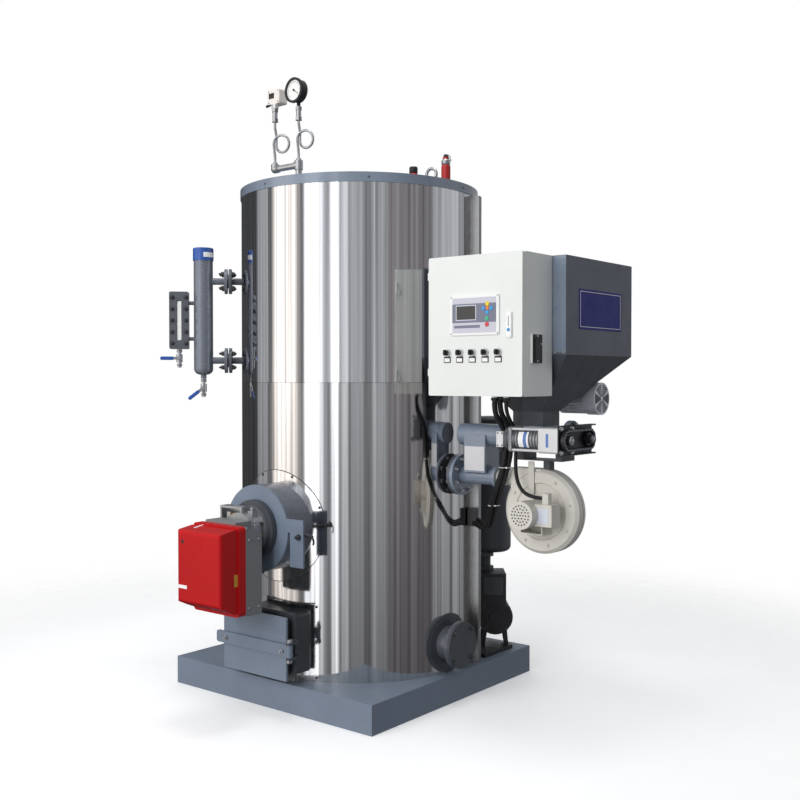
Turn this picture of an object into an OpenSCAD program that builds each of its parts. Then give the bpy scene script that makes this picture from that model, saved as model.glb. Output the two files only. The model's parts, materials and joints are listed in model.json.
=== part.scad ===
// Vertical steam boiler with a burner, an ash door, a pellet hopper with its feed, and a control cabinet.
// The origin is on the floor under the shell's axis: +Z is up, -Y is the burner side, +X the hopper side.

/* [Base] */
// How far the base reaches past the shell on each side
base_margin = 36; // [30:1:150]
// How far the base's middle lies in front of the shell's axis
base_forward = 20; // [0:1:25]
// Height of the base to the top of its deck
base_h = 112; // [80:1:200]
// Thickness of the deck plate
deck_t = 12; // [6:1:20]
// Thickness of the skirt plates
skirt_t = 10; // [5:1:20]
// Width of each bearer under the deck
bearer_w = 60; // [40:1:100]

/* [Shell] */
// Outside diameter of the cladding
shell_d = 1000; // [980:1:1010]
// Height from the deck to the top of the rim
shell_h = 1955; // [1900:1:2100]
// Height of the lower cladding course
course_h = 1153; // [1100:1:1250]
// Thickness of the cladding sheet
clad_t = 1.5; // [1:0.1:3]
// Thickness of the jacketed wall behind the cladding
wall_t = 80; // [50:1:110]
// Thickness of the top plate
top_t = 10; // [6:1:20]
// Height of the rim band
rim_h = 37; // [25:1:60]
// Thickness of the rim band
rim_t = 4; // [2:0.5:8]
// Width of the rim's lip on the top plate
lip_w = 34; // [15:1:60]
// Outside diameter of the flue collar
flue_d = 220; // [150:1:260]
// Height of the flue collar
flue_h = 80; // [50:1:95]

/* [Burner] */
// Height of the burner's axis above the deck
burner_up = 593; // [570:1:640]
// Diameter of the burner drum
drum_d = 336; // [300:1:360]
// How far the drum stands out from the shell
drum_out = 100; // [80:1:130]
// Diameter of the polished trim round the drum
drum_trim_d = 438; // [400:1:440]
// Diameter of the ring in front of the drum
ring_d = 224; // [190:1:250]
// Thickness of the ring in front of the drum
ring_t = 24; // [15:1:35]
// Diameter of the burner's casting
casting_d = 180; // [150:1:188]
// Length of the burner's casting
casting_l = 68; // [60:1:90]
// Width of the burner's housing and hood
burner_w = 250; // [230:1:270]
// Height of the burner's housing
burner_h = 330; // [320:1:335]
// Depth of the burner's housing behind the hood
housing_l = 80; // [60:1:110]
// Depth of the hood
hood_l = 120; // [100:1:150]
// Height of the hood's front
hood_front_h = 262; // [240:1:280]

/* [Ash door] */
// Height of the ash door's middle above the deck
ash_up = 153; // [150:1:156]
// Width of the ash door and of its frame
ash_w = 344; // [320:1:350]
// Height of the frame's flange
ash_flange_h = 258; // [250:1:262]
// Height of the door plate
ash_door_h = 240; // [230:1:248]
// How far the frame's flange stands out from the shell
ash_out = 75; // [60:1:90]
// Thickness of the door plate and of the flange
ash_plate_t = 9; // [6:1:12]
// Thickness of the door's lining
lining_t = 36; // [25:1:45]
// Height of the strap across the door
strap_h = 46; // [35:1:60]
// Thickness of the strap
strap_t = 10; // [8:1:14]
// Diameter of the door's hinge pin
ash_pin_d = 12; // [8:1:14]

/* [Cleanout] */
// Height of the cleanout's axis above the deck
cleanout_up = 118; // [110:1:150]
// How far the cleanout lies in front of the shell's middle
cleanout_forward = 40; // [20:1:60]
// Diameter of the cleanout's flange
cleanout_d = 184; // [165:1:200]
// How far the cleanout's cover stands out from the shell
cleanout_out = 70; // [55:1:90]

/* [Level gauge] */
// Direction of the level column round the shell
level_az = 225; // [215:1:235]
// Height of the lower arm above the deck
level_low_up = 1245; // [1200:1:1280]
// Distance between the arms
level_arm_gap = 333; // [320:1:360]
// Distance of the column's axis from the shell
column_out = 160; // [150:1:180]
// Diameter of the column
column_d = 80; // [70:1:89]
// Diameter of the arms
arm_d = 28; // [22:1:34]
// Diameter of the arm flanges
arm_flange_d = 105; // [95:1:115]
// Width of the gauge glass frame
glass_w = 80; // [70:1:90]
// Height of the gauge glass frame
glass_h = 240; // [230:1:260]

/* [Hopper] */
// Width of the hopper, left to right
hopper_w = 512; // [500:1:540]
// Length of the hopper, front to rear
hopper_l = 512; // [490:1:560]
// Clear distance between the shell and the hopper
hopper_gap = 72; // [60:1:90]
// How far the hopper's front lies in front of the feed's axis
hopper_forward = 140; // [130:1:160]
// Height of the hopper's mouth above the deck
hopper_up = 1607; // [1590:1:1650]
// Height of the straight part of the hopper
bin_h = 353; // [330:1:370]
// Height of the hopper's slope
cone_h = 207; // [190:1:215]
// Thickness of the hopper's sheet
sheet_t = 3; // [2:0.5:6]
// Width of the hopper's outlet
outlet_w = 130; // [110:1:150]
// Length of the hopper's outlet
outlet_l = 120; // [100:1:130]

/* [Feed] */
// Height of the feed pipe's axis above the deck
feed_up = 788; // [775:1:800]
// Diameter of the feed pipe
feed_d = 68; // [60:1:76]
// Diameter of the feed flanges
feed_flange_d = 162; // [150:1:175]
// Height of the screw tube's axis above the feed pipe's
screw_rise = 162; // [155:1:175]
// Diameter of the screw tube
screw_d = 86; // [76:1:95]
// Width of the chute between the two pipes
chute_w = 99; // [85:1:110]
// Size of the gear motor across its square
motor_s = 92; // [80:1:98]
// Length of the gearbox
gearbox_l = 78; // [60:1:90]
// Length of the finned motor
motor_l = 112; // [100:1:125]
// Distance between the two chain wheels
chain_gap = 153; // [146:1:165]

/* [Blower] */
// Distance of the blower's axis from the shell
blower_out = 420; // [410:1:440]
// Height of the blower's axis above the deck
blower_up = 674; // [665:1:680]
// Diameter of the blower's casing
volute_d = 316; // [300:1:320]
// Width of the blower's casing
volute_w = 70; // [60:1:78]
// Diameter of the blower's motor
blower_motor_d = 96; // [85:1:100]
// Length of the blower's motor
blower_motor_l = 145; // [130:1:150]

/* [Cabinet] */
// Width of the cabinet
cab_w = 400; // [380:1:420]
// Height of the cabinet
cab_h = 500; // [480:1:520]
// Depth of the cabinet with its door
cab_l = 200; // [180:1:210]
// Thickness of the cabinet door
cab_door_t = 18; // [14:1:24]
// Thickness of the cabinet's sheet
cab_t = 2; // [1.5:0.5:4]

/* [Water feed] */
// Diameter of the water tank
tank_d = 184; // [170:1:190]
// Height of the water tank
tank_h = 600; // [550:1:640]
// Diameter of the pump's motor
pump_d = 148; // [135:1:152]

/* [Hidden] */
$fn = 96;
// Clearance between curved pieces
fit = 0.3;
// Running clearance round a pin
play = 0.3;
// Overrun of every cut
cut = 5;

// Levels and radii of the shell
base_w = shell_d + 2 * base_margin;
base_l = base_w;
shell_r = shell_d / 2;
deck_z = base_h;
top_z = deck_z + shell_h;
seam_z = deck_z + course_h;
seam_gap = 1;
lip_t = 4;
plate_z = top_z - lip_t - top_t;
plate_top = top_z - lip_t;
rim_z = top_z - rim_h;
wall_r = shell_r - clad_t - fit;
wall_in_r = wall_r - wall_t;

// Flue collar and lifting eyes
flue_t = 6;
eye_ring_d = 50;
eye_wire_d = 13;
eye_shank_h = 30;
eye_pad_d = 46;
eye_pad_h = 12;
eye_at_shares = [0.618, 0.2];

// Cable trunk on the shell
trunk_y = 153;
trunk_depth = 38;
trunk_w = 36;
trunk_az = asin(trunk_y / (shell_r + trunk_depth / 2));
trunk_top_gap = 4;
gland_up = 603;
gland_w = 36;
gland_t = 34;
gland_h = 70;
gland_nose_d = 22;
gland_nose_l = 34;

// Safety valves: place, diameter of the body and height of each
valve_at_shares = [[0.766, 0.2], [0.428, 0.2]];
valve_d = [38, 44];
valve_h = [128, 107];
valve_base_share = 0.7;
valve_neck_share = 0.5;
valve_steps_shares = [0.22, 0.3, 0.72, 0.78, 1];

// Gauge manifold, pigtails, gauge and switch
manifold_at_shares = [-0.43, -0.3];
manifold_x = shell_r * manifold_at_shares[0];
manifold_y = shell_r * manifold_at_shares[1];
manifold_up = 129;
manifold_z = top_z + manifold_up;
manifold_d = 27;
manifold_socket_d = 36;
manifold_socket_l = 40;
pigtail_gap = 143;
pigtail_d = 11;
pigtail_loop_d = 72;
pigtail_rise = 88;
pigtail_tops = [171, 185];
pigtail_turn = 12;
pigtail_steps = 24;
pigtail_sides = 10;
cock_d = 22;
cock_h = 58;
cock_nut_d = 30;
cock_nut_h = 14;
gauge_d = 107;
gauge_t = 40;
gauge_bezel_t = 10;
gauge_recess_t = 6;
gauge_turn = -3;
gauge_stem_h = 12;
gauge_rear = 8;
gauge_socket_d = 16;
switch_w = 72;
switch_l = 48;
switch_h = 62;
switch_r = 6;
switch_foot_h = 20;
switch_before = 10;

// Burner
burner_z = deck_z + burner_up;
drum_front = shell_r + drum_out;
trim_t = 1.5;
trim_r = shell_r + fit;
cover_t = 8;
cover_arm_share = 0.15;
cover_leaf_in = 180;
cover_leaf_out = 248;
cover_leaf_up = 50;
cover_leaf_down = 128;
ring_front = drum_front + cover_t + ring_t;
casting_disc_t = 18;
casting_neck_d = 140;
casting_box_x = -110;
casting_box_w = 120;
casting_box_l = 44;
casting_box_h = 72;
casting_box_t = 8;
casting_front = ring_front + casting_l;
housing_down = 293;
housing_z = burner_z - housing_down;
housing_drop = 30;
housing_r = 10;
housing_lid_x = -95;
housing_lid_w = 165;
housing_lid_up = 8;
housing_front = casting_front + housing_l;
hood_front = housing_front + hood_l;
hood_lip_l = 34;
hood_inset = 6;
hood_r = 16;
hood_foot_up = 48;

// Ash door
ash_z = deck_z + ash_up;
ash_front = shell_r + ash_out;
neck_in = 17;
neck_t = 8;
neck_w = ash_w - 2 * neck_in;
neck_h = ash_flange_h - 2 * neck_in;
ash_gap = 1;
ash_trim_w = 384;
ash_trim_h = 292;
lining_in = 18;
lining_front = ash_front + ash_gap + lining_t;
door_front = lining_front + ash_plate_t;
strap_end = 32;
strap_end_r = 10;
ash_r = 5;
ash_pin_out = 22;
ash_eye_d = 26;
ash_pin_x = ash_w / 2 + ash_pin_out;
ash_pin_y = -(door_front + strap_t / 2);
lug_t = 9;
lug_gap = 1;
lug_clear = 8;
lug_root = 12;

// Cleanout
cleanout_z = deck_z + cleanout_up;
cleanout_pipe_d = 140;
cleanout_flange_t = 12;
cleanout_collar_d = 234;
cleanout_collar_t = 3;

// Level gauge, in a frame whose X runs out from the shell's axis
low_z = deck_z + level_low_up;
high_z = low_z + level_arm_gap;
column_x = shell_r + column_out;
column_drop = 36;
column_rise = 86;
column_dome_h = 24;
column_neck_d = 24;
column_neck_h = 16;
column_foot_h = column_drop + column_dome_h + column_neck_h;
arm_flange_t = 12;
arm_face_t = 3;
arm_face_d = 56;
arm_stub_l = 56;
arm_flange_x = shell_r + arm_stub_l;
cap_h = 53;
cap_over = 3;
cap_d = column_d + 2 * cap_over;
cap_chamfer = 3;
glass_out = 100;
glass_x = column_x + glass_out;
glass_t = 44;
glass_up = 48;
glass_z = low_z + glass_up;
glass_r = 6;
slot_w = 20;
slot_h = 166;
pane_t = 12;
pane_lip = 6;
pane_w = slot_w + 2 * pane_lip;
pane_h = slot_h + 2 * pane_lip;
link_d = 16;
link_up = 43;
link_gap = 150;
tap_body_d = 26;
tap_body_h = 34;
tap_tail_d = 16;
tap_tail_h = 22;
tap_stem_d = 8;
tap_stem_l = 34;
lever_l = 72;
lever_w = 12;
lever_t = 4;
lever_hub_d = 16;
lever_nut_t = 4;
column_lever_dip = 38;

// Hopper
hopper_x = shell_r + hopper_gap;
hopper_right = hopper_x + hopper_w;
hopper_front = -hopper_forward;
hopper_rear = hopper_front + hopper_l;
mouth_z = deck_z + hopper_up;
fold_z = mouth_z - bin_h;
outlet_z = fold_z - cone_h;
outlet_in = 306;
outlet_x = hopper_x + outlet_in;
gusset_t = 8;
gusset_y = 60;
gusset_h = 280;
gusset_drop = 30;
gusset_foot_h = 60;

// Feed
feed_z = deck_z + feed_up;
screw_z = feed_z + screw_rise;
feed_flange_t = 14;
feed_stub_l = 18;
feed_face = shell_r + feed_stub_l + 2 * feed_flange_t;
feed_l = 216;
feed_end = shell_r + feed_l;
feed_socket_t = 10;
feed_socket_d = feed_d + 2 * feed_socket_t;
feed_socket_l = 14;
chute_out = 81;
chute_x = shell_r + chute_out;
screw_out = 41;
screw_start = shell_r + screw_out;
screw_flange_d = 130;
screw_flange_in = 64;
drive_x = hopper_right;
drive_t = 5;
motor_y = -chain_gap;
motor_z = screw_z;
motor_r = 8;
motor_fin_d = 84;
motor_groove = 4;
motor_fins = 9;
motor_cap_l = 38;
motor_cap_t = 12;
rod_d = 9;
rod_in = 8;
terminal_w = 40;
terminal_l = 46;
terminal_h = 56;
drive_over = 42;
drive_h = 108;
drive_lip = 22;
wheel_teeth = 14;
wheel_tip_d = 58;
wheel_root_d = 46;
wheel_t = 8;
wheel_hub_d = 34;
wheel_hub_l = 26;
wheel_gap = 3;
chain_in_d = 60;
chain_t = 9;
chain_w = 14;

// Stirrer motor under the hopper's slope
stir_y = 255;
stir_drop = 163;
stir_d = 118;
stir_cowl_d = 126;
stir_l = 168;
stir_end = 66;
stir_cowl_l = 52;
stir_bell_l = 26;
stir_fin_h = 5;
stir_fin_t = 3;
stir_fins = 24;
stir_mount_w = 60;
stir_mount_l = 76;

// Blower
blower_x = shell_r + blower_out;
blower_z = deck_z + blower_up;
blower_rear = 30;
blower_front = blower_rear - volute_w;
volute_rim = 12;
volute_eye_d = 216;
volute_step = 5;
seam_share = 0.36;
seam_w = 5;
spout_h = 84;
spout_l = 130;
spout_d = 60;
cowl_l = 58;
cowl_over = 3;
cowl_d = blower_motor_d + 2 * cowl_over;
box_w = 70;
box_l = 62;
box_h = 80;
box_gland_in = 8;
box_gland_w = 25;
box_gland_l = 24;
box_gland_h = 38;
foot_w = 96;
foot_h = 30;
foot_l = 70;
foot_t = 5;
hanger_w = 190;
hanger_l = 96;
hanger_t = 4;
hanger_up = 190;
hanger_z = blower_z + hanger_up;
hanger_strap_w = 26;

// Cabinet
cab_in = 57;
cab_x = hopper_right - cab_in - cab_w;
cab_z = mouth_z - cab_h;
cab_rear = hopper_front;
cab_front = cab_rear - cab_l;
cab_gap = 1;
cab_r = 6;
box_front = cab_front + cab_door_t + cab_gap;
knuckle_d = 12;
knuckle_l = 46;
knuckle_share = 0.4;
hinge_in_share = 0.15;
hinge_pin_d = 6;
hinge_x = cab_x - knuckle_d / 2;
hinge_y = cab_front + cab_door_t + cab_gap / 2;
leaf_t = 2;
leaf_w = 26;
panel_w = 209;
panel_h = 142;
panel_t = 6;
panel_r = 5;
panel_x_share = 0.51;
panel_z_share = 0.573;
screen_w_share = 0.435;
screen_h_share = 0.394;
screen_shift_share = -0.16;
screen_rise_share = 0.06;
screen_t = 2;
selectors = 5;
selector_gap = 54.5;
selector_x_share = 0.485;
selector_z_share = 0.31;
selector_d = 26;
selector_ring_t = 4;
selector_knob_d = 20;
selector_knob_t = 12;
selector_grip_w = 6;
selector_grip_t = 8;
lock_w = 24;
lock_h = 90;
lock_t = 6;
lock_x_share = 0.871;
lock_z_share = 0.496;
vent_w = 63;
vent_h = 100;
vent_t = 8;
vent_y_share = 0.37;
vent_z_share = 0.332;

// Water tank and pump
tank_az = 56.4;
tank_clear = 14;
tank_dist = shell_r + tank_clear + tank_d / 2;
tank_up = 400;
tank_z = deck_z + tank_up;
tank_dome = 24;
saddle_w = 70;
saddle_h = 50;
saddle_up_shares = [0.2, 0.75];
tank_x = tank_dist * cos(tank_az);
tank_y = tank_dist * sin(tank_az);
pump_side = 117;
pump_x = tank_x + pump_side;
pump_before = 135;
pump_y = tank_y - pump_before;
pump_turn = 38;
pump_up = 139;
pump_z = deck_z + pump_up;
pump_l = 140;
pump_cowl_l = 36;
pump_cowl_over = 2;
pump_cowl_d = pump_d + 2 * pump_cowl_over;
pump_box_w = 110;
pump_box_side = 8;
pump_box_l = 145;
pump_box_h = 112;
pump_top = pump_z + pump_d / 2 + pump_box_h;
pump_valve_side = 36;
pump_valve_rear = 22;
pump_valve_d = 50;
pump_valve_nut_d = 76;
pump_valve_nut_h = 16;
tray_w = 120;
tray_l = 212;
tray_before = 150;
tray_side = 48;
tray_t = 16;
leg_foot_w = 120;
leg_t = 8;
leg_w = 13;
leg_in_share = 0.2;

// Leads, as points along their middle lines
loom_d = 20;
lead_d = 14;
lead_sides = 8;
loom_across = [0.6, 0.8, 0];
lead_across = [0, 1, 0];
loom_shift = [13, 17, 5];
loom_points = [
    [300, -165, 1088], [300, -165, 1064], [299, -153, 1034], [297, -126, 1008], [294, -99, 982],
    [292, -82, 950], [290, -76, 912], [285, -74, 873], [275, -73, 833], [260, -69, 793],
    [238, -58, 753], [211, -36, 714], [182, -8, 676], [154, 22, 640], [129, 49, 609],
    [106, 70, 585], [83, 86, 572], [60, 97, 570], [38, 106, 576]
];
lead_points = [
    [350, -165, 1088], [350, -165, 1065], [349, -154, 1038], [347, -131, 1012], [344, -102, 986],
    [341, -84, 954], [338, -78, 918], [336, -77, 882], [338, -80, 846], [345, -87, 812],
    [359, -96, 782], [380, -104, 758], [406, -108, 743], [434, -109, 736], [456, -108, 734],
    [476, -108, 734]
];
lead_start = [shell_r, 0, deck_z];
loom_route = [for (p = loom_points) lead_start + p];
lead_route = [for (p = lead_points) lead_start + p];

// Shared shapes

// A round bar along +X
module rod_x(d, l) {
    rotate([0, 90, 0])
        cylinder(h = l, d = d);
}

// A round bar along -Y
module rod_front(d, l) {
    rotate([90, 0, 0])
        cylinder(h = l, d = d);
}

// A ring standing on the origin
module tube(od, id, h) {
    difference() {
        cylinder(h = h, d = od);
        translate([0, 0, -cut])
            cylinder(h = h + 2 * cut, d = id);
    }
}

// A block centred in X and Y, standing on the origin
module block(w, l, h) {
    translate([-w / 2, -l / 2, 0])
        cube([w, l, h]);
}

// A flat shape with round corners, centred
module round_rect(w, h, r) {
    square([w - 2 * r, h], center = true);
    square([w, h - 2 * r], center = true);
    for (sx = [-1, 1], sy = [-1, 1])
        translate([sx * (w / 2 - r), sy * (h / 2 - r)])
            circle(r = r);
}

// A plate that faces -Y, with its back at the origin's Y
module front_plate(w, h, r, t) {
    rotate([90, 0, 0])
        linear_extrude(t)
            round_rect(w, h, r);
}

// A profile in Y and Z, drawn along X over a width about the middle
module side_extrude(w) {
    translate([-w / 2, 0, 0])
        rotate([90, 0, 90])
            linear_extrude(w)
                children();
}

// What lies outside the cladding
module off_shell(gap = fit) {
    difference() {
        children();
        cylinder(h = top_z + cut, r = shell_r + gap);
    }
}

// A sheet bent round the shell, in the outline of its children
module bent_sheet(t) {
    intersection() {
        children();
        tube(2 * (trim_r + t), 2 * trim_r, top_z);
    }
}

// A box that narrows from its top to its mouth, each given as [x0, x1, y0, y1]
module funnel(low, high, h) {
    corners = [for (q = [[low, 0], [high, h]], y = [2, 3], x = [0, 1]) [q[0][x], q[0][y], q[1]]];
    polyhedron(corners, [[0, 1, 3, 2], [4, 6, 7, 5], [0, 4, 5, 1], [1, 5, 7, 3], [3, 7, 6, 2], [2, 6, 4, 0]]);
}

function unit(v) = v / norm(v);

// Outline with every corner rounded
function rounded(p, r, steps) = [
    for (i = [0 : len(p) - 1])
        let (a = p[i], n = len(p))
        let (b = unit(p[(i + n - 1) % n] - a), c = unit(p[(i + 1) % n] - a))
        let (half = acos(b * c) / 2, mid = a + unit(b + c) * r / sin(half))
        let (u = unit(a + b * r / tan(half) - mid), v = unit(a + c * r / tan(half) - mid))
        let (turn = acos(u * v))
        for (k = [0 : steps])
            mid + r * (u * sin(turn * (1 - k / steps)) + v * sin(turn * k / steps)) / sin(turn)
];

function route_way(p, i) = unit(p[min(i + 1, len(p) - 1)] - p[max(i - 1, 0)]);

function route_ring(p, i, d, sides, across) =
    let (way = route_way(p, i), u = unit(cross(across, way)), v = cross(way, u))
    [for (k = [0 : sides - 1]) p[i] + d / 2 * (cos(360 * k / sides) * u + sin(360 * k / sides) * v)];

// A round lead along a route; across is a direction that the route never takes
module swept(p, d, sides, across) {
    rings = len(p);
    points = [for (i = [0 : rings - 1]) each route_ring(p, i, d, sides, across)];
    walls = [
        for (i = [0 : rings - 2], k = [0 : sides - 1])
            let (a = i * sides, b = a + sides, m = (k + 1) % sides)
            [a + k, b + k, b + m, a + m]
    ];
    ends = [
        [for (k = [0 : sides - 1]) k],
        [for (k = [sides - 1 : -1 : 0]) (rings - 1) * sides + k]
    ];
    polyhedron(points, concat(walls, ends), convexity = 6);
}

// Base and shell

module base_frame() {
    color("slategray") {
        difference() {
            translate([0, -base_forward, 0])
                block(base_w, base_l, base_h - deck_t);
            translate([0, -base_forward, -cut])
                block(base_w - 2 * skirt_t, base_l - 2 * skirt_t, base_h + 2 * cut);
        }
        for (i = [-1 : 1])
            translate([0, i * base_l / 4, 0])
                block(base_w - skirt_t, bearer_w, base_h - deck_t);
    }
}

module base_deck() {
    color("slategray")
        translate([0, -base_forward, base_h - deck_t])
            block(base_w, base_l, deck_t);
}

module ash_opening() {
    translate([0, -shell_r, ash_z - neck_h / 2 + neck_t])
        block(neck_w - 2 * neck_t, shell_r, neck_h - 2 * neck_t);
}

module boiler_wall() {
    color("dimgray")
        difference() {
            translate([0, 0, deck_z])
                tube(2 * wall_r, 2 * wall_in_r, plate_z - deck_z);
            ash_opening();
        }
}

module cladding_lower() {
    color("gainsboro")
        difference() {
            translate([0, 0, deck_z])
                tube(shell_d, shell_d - 2 * clad_t, course_h);
            ash_opening();
        }
}

module cladding_upper() {
    color("gainsboro")
        translate([0, 0, seam_z + seam_gap])
            tube(shell_d, shell_d - 2 * clad_t, plate_z - seam_z - seam_gap);
}

module top_plate() {
    color("slategray")
        translate([0, 0, plate_z])
            tube(shell_d, flue_d - 2 * flue_t, top_t);
}

module top_rim() {
    rim_out = trim_r + rim_t;
    color("slategray")
        rotate_extrude()
            polygon([
                [trim_r, rim_z], [rim_out, rim_z], [rim_out, top_z],
                [rim_out - lip_w, top_z], [rim_out - lip_w, plate_top], [trim_r, plate_top]
            ]);
}

module cable_trunk() {
    color("silver")
        off_shell()
            rotate([0, 0, trunk_az])
                translate([0, -trunk_w / 2, deck_z])
                    cube([shell_r + trunk_depth, trunk_w, rim_z - trunk_top_gap - deck_z]);
}

module trunk_gland() {
    loom_end = loom_route[len(loom_route) - 1];
    way = unit(loom_end - loom_route[len(loom_route) - 2]);
    gland_z = deck_z + gland_up - gland_h / 2;
    color("black")
        difference() {
            union() {
                rotate([0, 0, trunk_az])
                    translate([shell_r + trunk_depth - gland_w, -trunk_w / 2 - gland_t, gland_z])
                        cube([gland_w, gland_t, gland_h]);
                for (share = [0, 1])
                    translate(loom_end + share * loom_shift)
                        rotate([0, acos(way[2]), atan2(way[1], way[0])])
                            cylinder(h = gland_nose_l, d = gland_nose_d);
            }
            rotate([0, 0, trunk_az])
                translate([0, -trunk_w / 2, 0])
                    cube([shell_d, shell_d, top_z]);
        }
}

module flue_collar() {
    color("slategray")
        translate([0, 0, plate_top])
            tube(flue_d, flue_d - 2 * flue_t, flue_h);
}

module lifting_eyes() {
    color("silver")
        for (side = [-1, 1])
            translate([side * shell_r * eye_at_shares[0], shell_r * eye_at_shares[1], plate_top]) {
                cylinder(h = eye_pad_h, d = eye_pad_d);
                cylinder(h = eye_pad_h + eye_shank_h, d = eye_wire_d + eye_pad_h);
                translate([0, 0, eye_pad_h + eye_shank_h + eye_ring_d / 2])
                    rotate([90, 0, 0])
                        rotate_extrude()
                            translate([eye_ring_d / 2, 0])
                                circle(d = eye_wire_d);
            }
}

module safety_valves() {
    color("firebrick")
        for (i = [0, 1])
            translate([shell_r * valve_at_shares[i][0], shell_r * valve_at_shares[i][1], plate_top]) {
                s = valve_steps_shares * valve_h[i];
                d = valve_d[i];
                rotate_extrude()
                    polygon([
                        [0, 0], [d * valve_neck_share / 2, 0], [d * valve_neck_share / 2, s[0]],
                        [d / 2, s[1]], [d / 2, s[2]], [d * valve_base_share / 2, s[3]],
                        [d * valve_base_share / 2, s[4]], [0, s[4]]
                    ]);
            }
}

// Gauges on the top

module gauge_manifold() {
    color("silver")
        translate([manifold_x, manifold_y, 0]) {
            translate([0, 0, plate_top])
                cylinder(h = manifold_z - plate_top, d = manifold_d);
            translate([-pigtail_gap, 0, manifold_z])
                rod_x(manifold_d, pigtail_gap);
            translate([0, 0, manifold_z - manifold_socket_l / 2])
                cylinder(h = manifold_socket_l, d = manifold_socket_d);
            translate([-manifold_socket_l / 2, 0, manifold_z])
                rod_x(manifold_socket_d, manifold_socket_l / 2);
            translate([-pigtail_gap, 0, manifold_z])
                sphere(d = manifold_socket_d);
            translate([-pigtail_gap, 0, manifold_z])
                rod_x(manifold_socket_d, manifold_socket_l / 2);
            translate([-pigtail_gap, 0, manifold_z])
                cylinder(h = manifold_socket_l / 2, d = manifold_socket_d);
        }
}

// A pigtail: straight up, once round a loop that starts on its left, and straight up again
function pigtail_route(top) =
    let (r = pigtail_loop_d / 2)
    concat(
        [[0, 0, 0], [0, 0, pigtail_rise / 3]],
        [for (k = [0 : pigtail_steps])
            let (a = 360 * k / pigtail_steps)
            [r - r * cos(a), (k / pigtail_steps - 1 / 2) * 2 * pigtail_d, pigtail_rise + r * sin(a)]],
        [[0, pigtail_d, pigtail_rise + r], [0, 0, pigtail_rise + 2 * r], [0, 0, top]]
    );

module gauge_siphons() {
    color("silver")
        for (i = [0, 1])
            translate([manifold_x - i * pigtail_gap, manifold_y, manifold_z + manifold_socket_l / 2])
                rotate([0, 0, pigtail_turn]) {
                    swept(pigtail_route(pigtail_tops[i]), pigtail_d, pigtail_sides, lead_across);
                    translate([0, 0, pigtail_tops[i]])
                        cylinder(h = cock_h, d = cock_d);
                    for (z = [0, cock_h - cock_nut_h])
                        translate([0, 0, pigtail_tops[i] + z])
                            cylinder(h = cock_nut_h, d = cock_nut_d, $fn = 6);
                }
}

cock_tops = [for (h = pigtail_tops) manifold_z + manifold_socket_l / 2 + h + cock_h];

module pressure_gauge() {
    color("black")
        translate([manifold_x, manifold_y, cock_tops[0]])
            rotate([0, 0, gauge_turn]) {
                cylinder(h = gauge_stem_h + gauge_d / 4, d = gauge_socket_d);
                translate([0, gauge_rear, gauge_stem_h + gauge_d / 2])
                    difference() {
                        union() {
                            rod_front(gauge_d - gauge_bezel_t, gauge_t);
                            translate([0, gauge_bezel_t - gauge_t, 0])
                                rod_front(gauge_d, gauge_bezel_t);
                        }
                        translate([0, gauge_recess_t - gauge_t, 0])
                            rod_front(gauge_d - 2 * gauge_bezel_t, gauge_recess_t + cut);
                    }
            }
}

module pressure_switch() {
    color("tan")
        translate([manifold_x - pigtail_gap, manifold_y, cock_tops[1]]) {
            cylinder(h = switch_foot_h, d = cock_nut_d);
            translate([0, switch_l - switch_before, switch_foot_h + switch_h / 2])
                front_plate(switch_w, switch_h, switch_r, switch_l);
        }
}

// Trims on the cladding

module cladding_trims() {
    color("gainsboro")
        bent_sheet(trim_t) {
            union() {
                translate([0, 0, burner_z])
                    difference() {
                        rod_front(drum_trim_d, drum_front);
                        rod_front(drum_d + 2 * fit, drum_front + cut);
                    }
                translate([0, 0, ash_z])
                    difference() {
                        front_plate(ash_trim_w, ash_trim_h, strap_end_r, drum_front);
                        front_plate(neck_w + 2 * fit, neck_h + 2 * fit, ash_r, drum_front + cut);
                    }
            }
        }
}

// Burner

module burner_drum() {
    color("dimgray")
        off_shell()
            translate([0, 0, burner_z])
                rod_front(drum_d, drum_front);
}

module burner_cover() {
    color("slategray")
        translate([0, -drum_front, burner_z]) {
            rod_front(drum_d, cover_t);
            translate([0, -cover_t, cover_leaf_up - drum_d * cover_arm_share])
                cube([cover_leaf_out, cover_t, drum_d * cover_arm_share]);
            translate([cover_leaf_in, -cover_t, -cover_leaf_down])
                cube([cover_leaf_out - cover_leaf_in, cover_t, cover_leaf_down + cover_leaf_up]);
        }
}

module burner_ring() {
    color("dimgray")
        translate([0, -drum_front - cover_t, burner_z])
            rod_front(ring_d, ring_t);
}

module burner_casting() {
    color("silver")
        translate([0, -ring_front, burner_z]) {
            rod_front(casting_d, casting_disc_t);
            rod_front(casting_neck_d, casting_l);
            translate([casting_box_x, -casting_disc_t - casting_box_l, casting_d / 2 - casting_box_h])
                difference() {
                    cube([casting_box_w, casting_box_l, casting_box_h]);
                    translate([casting_box_t, -cut, casting_box_t])
                        cube([casting_box_w, casting_box_l, casting_box_h] - 2 * casting_box_t * [1, 0, 1]);
                }
        }
}

module burner_housing() {
    color("gray")
        translate([0, -casting_front, housing_z])
            side_extrude(burner_w)
                polygon(rounded([
                    [0, 0], [-housing_l, 0], [-housing_l, burner_h], [0, burner_h - housing_drop]
                ], housing_r, 6));
    color("gray")
        translate([housing_lid_x, -housing_front, housing_z + burner_h / 2])
            cube([housing_lid_w, housing_l, burner_h / 2 + housing_lid_up]);
}

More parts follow.
